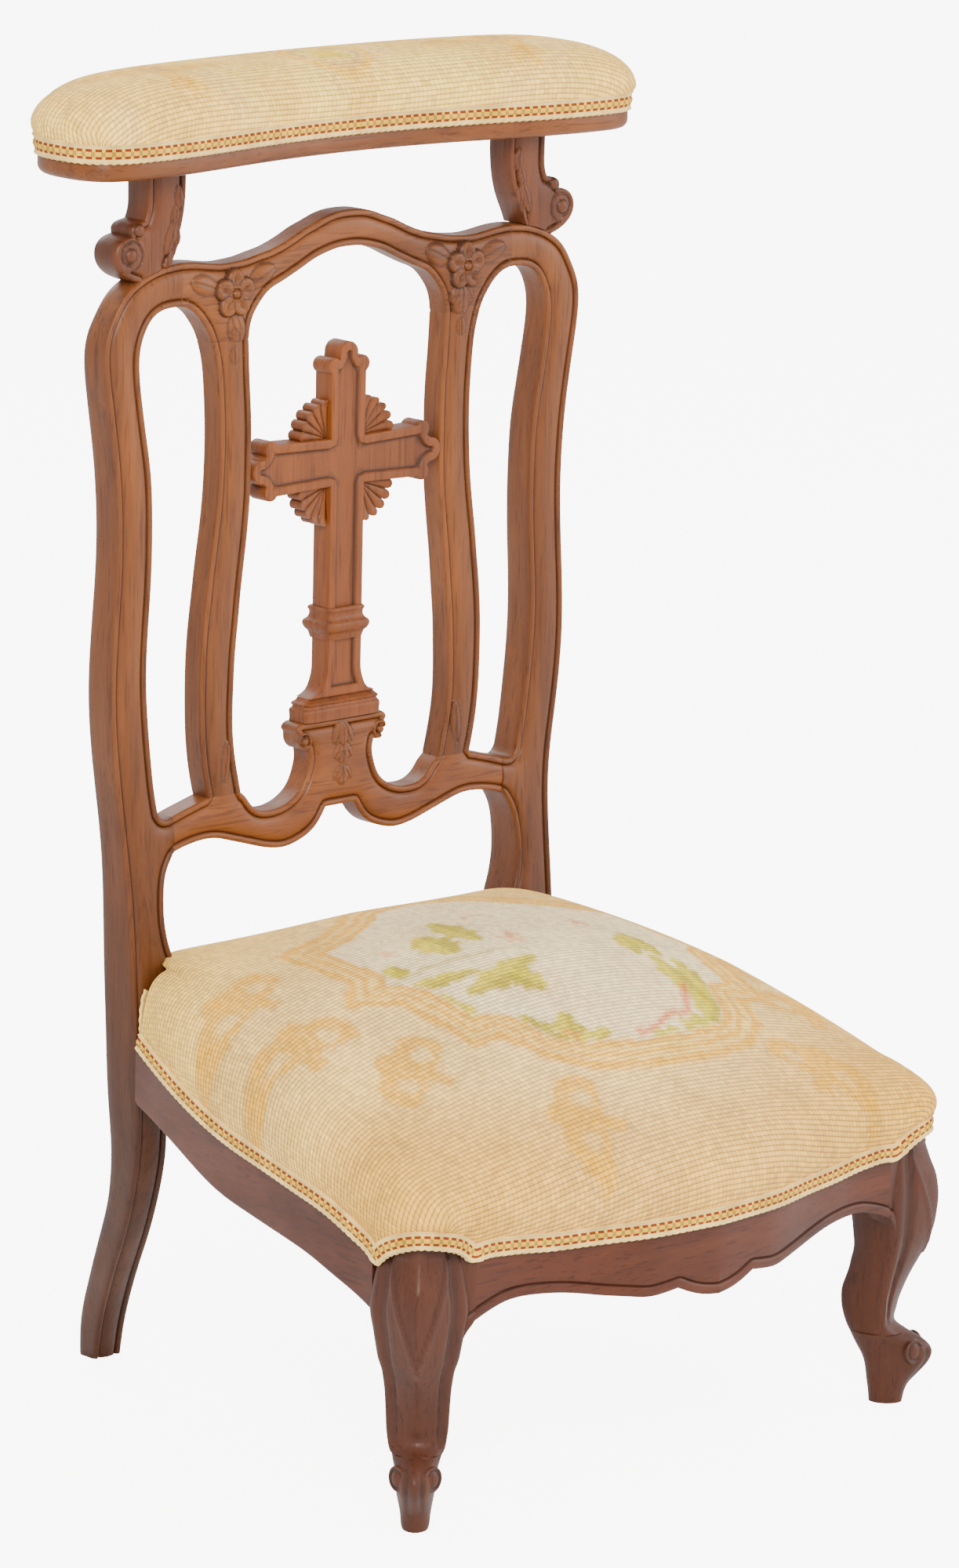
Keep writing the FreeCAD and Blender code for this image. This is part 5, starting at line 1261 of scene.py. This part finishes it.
# height, front, heel, half width, squareness of the front and of the back
LEG_ROWS = [
    (0.0, 9.4, -13.0, 8.4, 2.0), (2.0, 9.8, -13.2, 9.0, 2.0), (7.6, 11.0, -13.8, 9.6, 2.0),
    (14.0, 13.9, -14.8, 10.4, 2.0), (20.0, 18.6, -15.6, 11.4, 2.0), (25.0, 22.6, -16.4, 12.2, 2.0),
    (29.0, 25.2, -17.4, 12.6, 2.1), (33.0, 26.8, -19.0, 12.8, 2.1), (37.0, 27.0, -21.2, 13.2, 2.1),
    (41.0, 25.0, -23.4, 13.8, 2.1), (45.0, 20.4, -25.4, 15.0, 2.0), (49.0, 13.6, -27.4, 16.4, 1.75),
    (53.0, 6.8, -29.4, 18.0, 1.5), (58.0, 2.6, -31.2, 18.8, 1.35), (64.0, 3.4, -32.8, 19.4, 1.25),
    (71.0, 5.0, -33.6, 19.8, 1.22), (78.0, 7.3, -33.4, 20.1, 1.22), (85.0, 10.0, -31.4, 20.5, 1.22),
    (92.0, 13.2, -29.2, 21.0, 1.22), (99.0, 16.8, -27.8, 21.9, 1.22), (106.0, 20.5, -26.4, 23.2, 1.22),
    (112.0, 23.6, -26.4, 25.2, 1.2), (119.0, 26.3, -27.2, 26.6, 1.2), (126.0, 28.2, -28.0, 27.8, 1.2),
    (133.0, 29.2, -29.5, 29.0, 1.2), (140.0, 29.9, -31.0, 30.4, 1.2), (146.0, 30.0, -32.0, 31.0, 1.2),
    (152.0, 29.4, -32.0, 30.6, 1.22), (158.0, 28.3, -32.0, 29.8, 1.25), (163.0, 26.8, -32.0, 29.0, 1.28),
    (168.0, 24.6, -32.0, 28.2, 1.32), (174.0, 22.4, -32.0, 27.0, 1.36), (180.0, 20.4, -32.0, 26.0, 1.4),
    (187.0, 18.8, -32.0, 25.2, 1.42), (194.0, 17.6, -32.0, 24.6, 1.45),
]
leg_rows = spline([tuple(row) for row in LEG_ROWS], 1.3)


# the scroll's eyes look outward and a little forward
EYE_TURN = (math.cos(math.radians(42)), math.sin(math.radians(42)))


def leg_mesh(name, side):
    """Cabriole leg built of level sections: diamond-shaped on the diagonal, with beads down both edges."""
    around = 96
    angles = np.arange(around) * math.tau / around
    c, s = np.cos(angles), np.sin(angles)
    verts, tones = [], []

    def placed(u, w):
        """Where a point u forward along the leg's diagonal and w across it lies in plan."""
        return side * (SOLE[0] + (u + w) * math.sqrt(0.5)), SOLE[1] + (w - u) * math.sqrt(0.5)

    for z, front, heel, half, power in leg_rows:
        lean = (front + heel) / 2 * (1 if z < 50 else 0.35)
        a = np.where(c >= 0, front - lean, lean - heel)
        radius = (np.abs(c / a) ** power + np.abs(s / half) ** power) ** (-1 / power)
        u, w, dark = lean + radius * c, radius * s, 0 * c
        # beads: a raised round strip near each side corner, with a quirk inside it, the quirk painted with shade
        if z > 52:
            grow = min(1.0, (z - 52) / 12)
            around_w = np.abs(w) / half
            bead = bell(around_w - 0.93, 0.07) * (c > -0.25)
            quirk = bell(around_w - 0.77, 0.085) * (c > 0)
            push = grow * (1.1 * bead - 2.2 * quirk)
            u, w, dark = u + push * c, w + push * s, 0.42 * grow * quirk
        # shield on the knee: a raised V between two arms, sunk above it, with painted shade just inside the arms
        if 104 < z < 182:
            arm = np.clip((z - 107) / (176 - 107), 0, 1) ** 0.9 * half * 0.70
            ridge = bell(np.abs(w) - arm, 1.5) * (c > 0)
            sunk = ((np.abs(w) < arm - 2) & (c > 0)) * min(1.0, max(0.0, (z - 110) / 6))
            push = 1.3 * ridge - 0.9 * smoothstep(sunk)
            u, w = u + push * c * 0.8, w + push * s * 0.4
            dark = np.maximum(dark, 0.6 * bell(np.abs(w) - arm + 2.4, 0.8) * (c > 0))
        # the leaf that hangs over the toe between the scroll's eyes, with painted shade in its grooves
        if 12 < z < 50:
            fold = math.sin(math.pi * (z - 12) / 38) * smoothstep((c - 0.3) / 0.3)
            groove = bell(np.abs(w) - 4.6, 1.4)
            u = u + fold * (1.5 * bell(w, 2.2) - 1.5 * groove)
            dark = np.maximum(dark, 0.75 * fold * groove)
        verts.extend(zip(*placed(u, w), np.full(around, z)))
        tones.extend(dark + 0.08)
    faces = tube(len(leg_rows), around)
    # scroll eyes on both sides of the toe: rings of (radius, height out of the leg, painted shade)
    rings = [(9.4, 0.0, 0.5), (9.2, 2.8, 0.1), (8.4, 3.8, 0.0), (7.2, 3.5, 0.7), (6.4, 2.7, 0.9), (5.6, 3.2, 0.4),
             (4.2, 4.4, 0.05), (2.2, 5.1, 0.0), (0.5, 5.3, 0.0)]
    seg = 32
    for way in (-1, 1):
        faces += tube(len(rings), seg, len(verts))
        for r, high, tone in rings:
            out = -1.4 + 0.62 * high
            for k in range(seg):
                a = math.tau * k / seg
                u = 16.4 + EYE_TURN[1] * out + EYE_TURN[0] * 0.84 * r * math.cos(a)
                w = way * (11.4 + EYE_TURN[0] * out - EYE_TURN[1] * 0.86 * r * math.cos(a))
                verts.append((*placed(u, w), 38.0 + 0.92 * r * math.sin(a)))
                tones.append(tone)
    return straighten(mesh_object(name, verts, faces, 42, tones))


# the leg's shoulders, which carry the rails' lower edges on into the knee
wing_line, wing_flags = closed_loop([
    ([(187.5, 184.0), (187.5, 137.4)], False), ([(187.5, 137.4), (191, 133.6), (195, 127.5), (198, 120.0)], True),
    ([(198, 120.0), (206, 120.0)], False), ([(206, 120.0), (206, 184.0)], False),
    ([(206, 184.0), (187.5, 184.0)], False)], 1.4)


def join(piece, other):
    """One mesh of both pieces, in the first one's place."""
    work = bmesh.new()
    work.from_mesh(piece.data)
    work.from_mesh(other.data)
    bpy.data.objects.remove(other)
    work.to_mesh(piece.data)
    work.free()
    piece.data.polygons.foreach_set("use_smooth", [True] * len(piece.data.polygons))
    piece.data.set_sharp_from_angle(angle=math.radians(38))


for label, side in SIDES:
    leg = leg_mesh("front_leg_" + label + "_carved", side)
    wing = sawn("wing_" + label, *on_side(wing_line, wing_flags, side),
                lambda u, v: -344.4 + 0.32 * np.maximum(0, np.abs(u) - 190), at_depth(-322),
                profile=rail_profile, rows=RAIL_ROWS, tone=rail_tone, fill=5.0)
    join(leg, straighten(wing))
    finish(leg, leg_wood, "walnut", "front_leg_" + label)

# ------------------------------------------------------------------ seat braid: front, over the knees, up the sides

KNEE = [(193.0, -344.8, 177.0), (203, -346.2, 183.6), (215, -346.0, 188.6), (225, -342.6, 190.4),
        (233.2, -335.2, 190.2), (237.2, -325.0, 186.6), (238.2, -314.0, 180.4), (237.6, -306, 174.6)]


def unit(vectors):
    return vectors / np.linalg.norm(vectors, axis=1)[:, None]


def both_sides(line):
    """A line from the middle to the right, joined to its mirror image."""
    return np.vstack([(line * (-1, 1, 1))[:0:-1], line])


path = spline([(x, FRONT_PLAN(x), 174.0 + 3.4 * smoothstep((x - 120) / 60.0)) for x in np.arange(0, 181, 12.0)] +
              KNEE + [(SIDE_PLAN(y), y, gimp_side(y)) for y in np.arange(-297, -26, 15.0)] +
              [(190.6, -14.8, 247.6)], 1.0)
way = unit(np.gradient(path[:, :2], axis=0))
out = np.c_[way[:, 1], -way[:, 0], np.zeros(len(path))]
up = np.cross(out, unit(np.gradient(path, axis=0)))
up *= np.sign(up[:, 2:3])
low = path + out * 0.1
top = low + up * GIMP_WIDE
seat_braid = ribbon("seat_gimp_braid", both_sides(top), both_sides(low), both_sides(out), False, 2.2)
finish(seat_braid, braid, "braid", "seat_gimp")

# short braids up the front of each stile, from the side rail to the cushion's back corner
STILE_BRAID = [(188.6, -15.0, 247.0), (187.8, -13.6, 256.0), (186.8, -12.4, 270.0), (184.2, -11.6, 281.0),
               (182.0, -11.4, 286.0)]
rising = spline(STILE_BRAID, 1.0)
facing = np.tile((0.0, -1.0, 0.0), (len(rising), 1))
across = np.cross(unit(np.gradient(rising, axis=0)), facing)
across *= np.sign(np.sum(across * np.array((-1.0, 0, 0.2)), axis=1))[:, None]
for label, side in SIDES:
    strip = ribbon("stile_gimp_" + label, (rising + across * GIMP_WIDE) * (side, 1, 1), rising * (side, 1, 1),
                   facing, False, 1.8)
    finish(strip, braid, "braid")

# ------------------------------------------------------------------ seat cushion

lip = top - up
# where the braid dips its top edge doubles back; the cover's edge runs straight on there
turned = int(np.argmax(lip[:, 0]))
lip = np.vstack([part[part[:, k] >= np.maximum.accumulate(part[:, k]) - 1e-6]
                 for part, k in ((lip[:turned], 0), (lip[turned:], 1))])
run = run_of(lip[:, :2])
lip = taken(np.linspace(0, run[-1], int(run[-1]) + 1), run, lip)
# and it is eased over four millimetres each way
held = np.vstack([np.repeat(lip[:1], 4, 0), lip, np.repeat(lip[-1:], 4, 0)])
eased = np.stack([np.convolve(held[:, k], np.ones(9) / 9, "valid") for k in range(3)], 1)
eased[:5], eased[-5:] = lip[:5], lip[-5:]
corner = int(np.argmin(np.abs(eased[:, 0] - 216) + np.abs(eased[:, 1] + 344)))
side_edge = np.vstack([eased[corner:], [(184.0, -15.0, 266.0), (178.4, -14.8, 275.0), (176.0, -14.4, 284.0),
                                        (172.0, -13.6, 291.6)]])
rear_right = np.vstack([
    spline([(172.0, -13.6, 291.6), (164, -12.8, 293.4), (156, -12.2, 293.8), (150, -10.5, 293.8)], 2.0),
    spline([(149, -8, 293.6), (148, 0, 293.2), (145, 7, 293.0), (138, 10, 292.8), (100, 10.5, 292.6),
            (0, 10.5, 292.6)], 3.0)])
rear_edge = np.vstack([(rear_right * (-1, 1, 1)), rear_right[::-1][1:]])
seat_grid, su, sv = coons(both_sides(eased[:corner + 1]), side_edge, rear_edge, side_edge * (-1, 1, 1), 190, 170)


def plan_reach(edge):
    """How far each point of the seat's grid is, in plan, from one of its edges along its own row or column."""
    return np.linalg.norm(seat_grid[..., :2] - edge[..., :2], axis=2)


from_left, from_right = plan_reach(seat_grid[:, :1]), plan_reach(seat_grid[:, -1:])
from_front, from_back = plan_reach(seat_grid[:1]), plan_reach(seat_grid[-1:])
rim = np.minimum.reduce([from_left, from_right, from_front, from_back])
share_u = from_left / (from_left + from_right)
share_v = from_front / (from_front + from_back)
SEAT_CROWN = 58.0       # how far the middle stands above the walls
base_z = 189.0 + (seat_grid[..., 1] + 372.0) * 0.2056
wall = 22.0 + 8.0 * share_v ** 0.7
crown = np.maximum(1 - np.abs(2 * share_u - 1) ** 1.8, 0) * np.maximum(1 - np.abs(2 * share_v - 1) ** 1.31, 0)
target = base_z + wall + SEAT_CROWN * crown ** 0.6
bulge = 13.0 * rim / (rim + 3.0) * (1 - smoothstep((sv[:, None] - 0.86) / 0.08))
raised = seat_grid.copy()
raised[..., 0] += bulge * (np.exp(-from_right / 14) - np.exp(-from_left / 14))
raised[..., 1] -= bulge * np.exp(-from_front / 14)
raised[..., 2] += (target - seat_grid[..., 2]) * (1 - np.exp(-rim / 5.0))
weave_y = paced(raised, 0) + np.take(raised[..., 1], [len(sv) // 2], axis=0)
cushion("seat_cover_stitched", raised, seat_colors(*seat_grid.reshape(-1, 3).T[:2]),
        np.c_[paced(raised, 1).ravel(), weave_y.ravel()], ("seat_cover", "seat_stuffing"), 0.5)

# ------------------------------------------------------------------ pieces kept from the CAD

HIDDEN = {
    plain_wood: ("rear_rail",),
    beech: ("glue_blocks", "crest_dowels", "splat_dowels", "lower_rail_dowels", "post_dowels", "cross_dowels",
            "front_rail_dowels", "side_rail_dowels", "rear_rail_dowels"),
    jute: ("webbing_lengthwise", "webbing_crosswise"), hessian: ("spring_canvas",),
    tack_metal: ("webbing_tacks",), spring_metal: ("seat_springs",),
}
for material, nodes in HIDDEN.items():
    for node in nodes:
        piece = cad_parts[node]
        piece.data.materials.clear()
        piece.data.materials.append(material)

# ------------------------------------------------------------------ floor, light and camera

bpy.ops.mesh.primitive_plane_add(size=14, location=(0, 0, 0))
floor = bpy.context.object
floor.name = "floor"
pale = Nodes("pale_floor")
tint = pale.ramp(pale.noise(pale.place(), 3.0, Detail=2.0), (0.3, (0.90, 0.895, 0.885)), (0.7, (0.92, 0.915, 0.905)))
glow = pale.calc("MULTIPLY", pale.add("LightPath", "Is Camera Ray"), 7.0)
floor.data.materials.append(pale.done({"Base Color": tint, "Roughness": 0.9, "Emission Color": (1.0, 0.995, 0.985),
                                       "Emission Strength": glow}))

world = bpy.data.worlds.new("studio")
bpy.context.scene.world = world
world.use_nodes = True
sky = world.node_tree.nodes["Background"]
sky.inputs[0].default_value = (0.93, 0.95, 1.0, 1)
sky.inputs[1].default_value = 1.5

for name, place, target, size, power, color in (
        ("key", (-2.2, -2.5, 2.5), (0, 0, 0.4), 1.5, 175, (1.0, 0.965, 0.91)),
        ("fill", (2.6, -2.0, 1.5), (0, 0, 0.4), 2.0, 62, (0.97, 0.98, 1.0)),
        ("rim", (0.6, 2.6, 2.2), (0, 0, 0.5), 1.8, 40, (1.0, 0.98, 0.95))):
    lamp = bpy.data.lights.new(name, "AREA")
    lamp.shape = "RECTANGLE"
    lamp.size = lamp.size_y = size
    lamp.energy = power
    lamp.color = color
    light = bpy.data.objects.new(name, lamp)
    light.location = place
    light.rotation_euler = (Vector(target) - Vector(place)).to_track_quat("-Z", "Y").to_euler()
    bpy.context.scene.collection.objects.link(light)

AZIMUTH, ELEVATION, ROLL = math.radians(-43.0), math.radians(12.78), math.radians(1.23)
back = Vector((math.sin(AZIMUTH) * math.cos(ELEVATION), -math.cos(AZIMUTH) * math.cos(ELEVATION),
               math.sin(ELEVATION)))
right = (-back).cross(Vector((0, 0, 1))).normalized()
above = right.cross(-back)
tilted_right = math.cos(ROLL) * right + math.sin(ROLL) * above
tilted_up = -math.sin(ROLL) * right + math.cos(ROLL) * above
lens = bpy.data.cameras.new("camera")
camera = bpy.data.objects.new("camera", lens)
axes = Matrix((tilted_right, tilted_up, back)).transposed().to_4x4()
camera.matrix_world = Matrix.Translation(Vector((-3304.9, -3673.1 + BACK_FACE, 1520.2)) * MM) @ axes
lens.sensor_fit = "VERTICAL"
lens.sensor_height = 36
lens.lens = 36 * 4.7935
lens.shift_x = 0.00475
lens.clip_end = 50
bpy.context.scene.collection.objects.link(camera)
bpy.context.scene.camera = camera
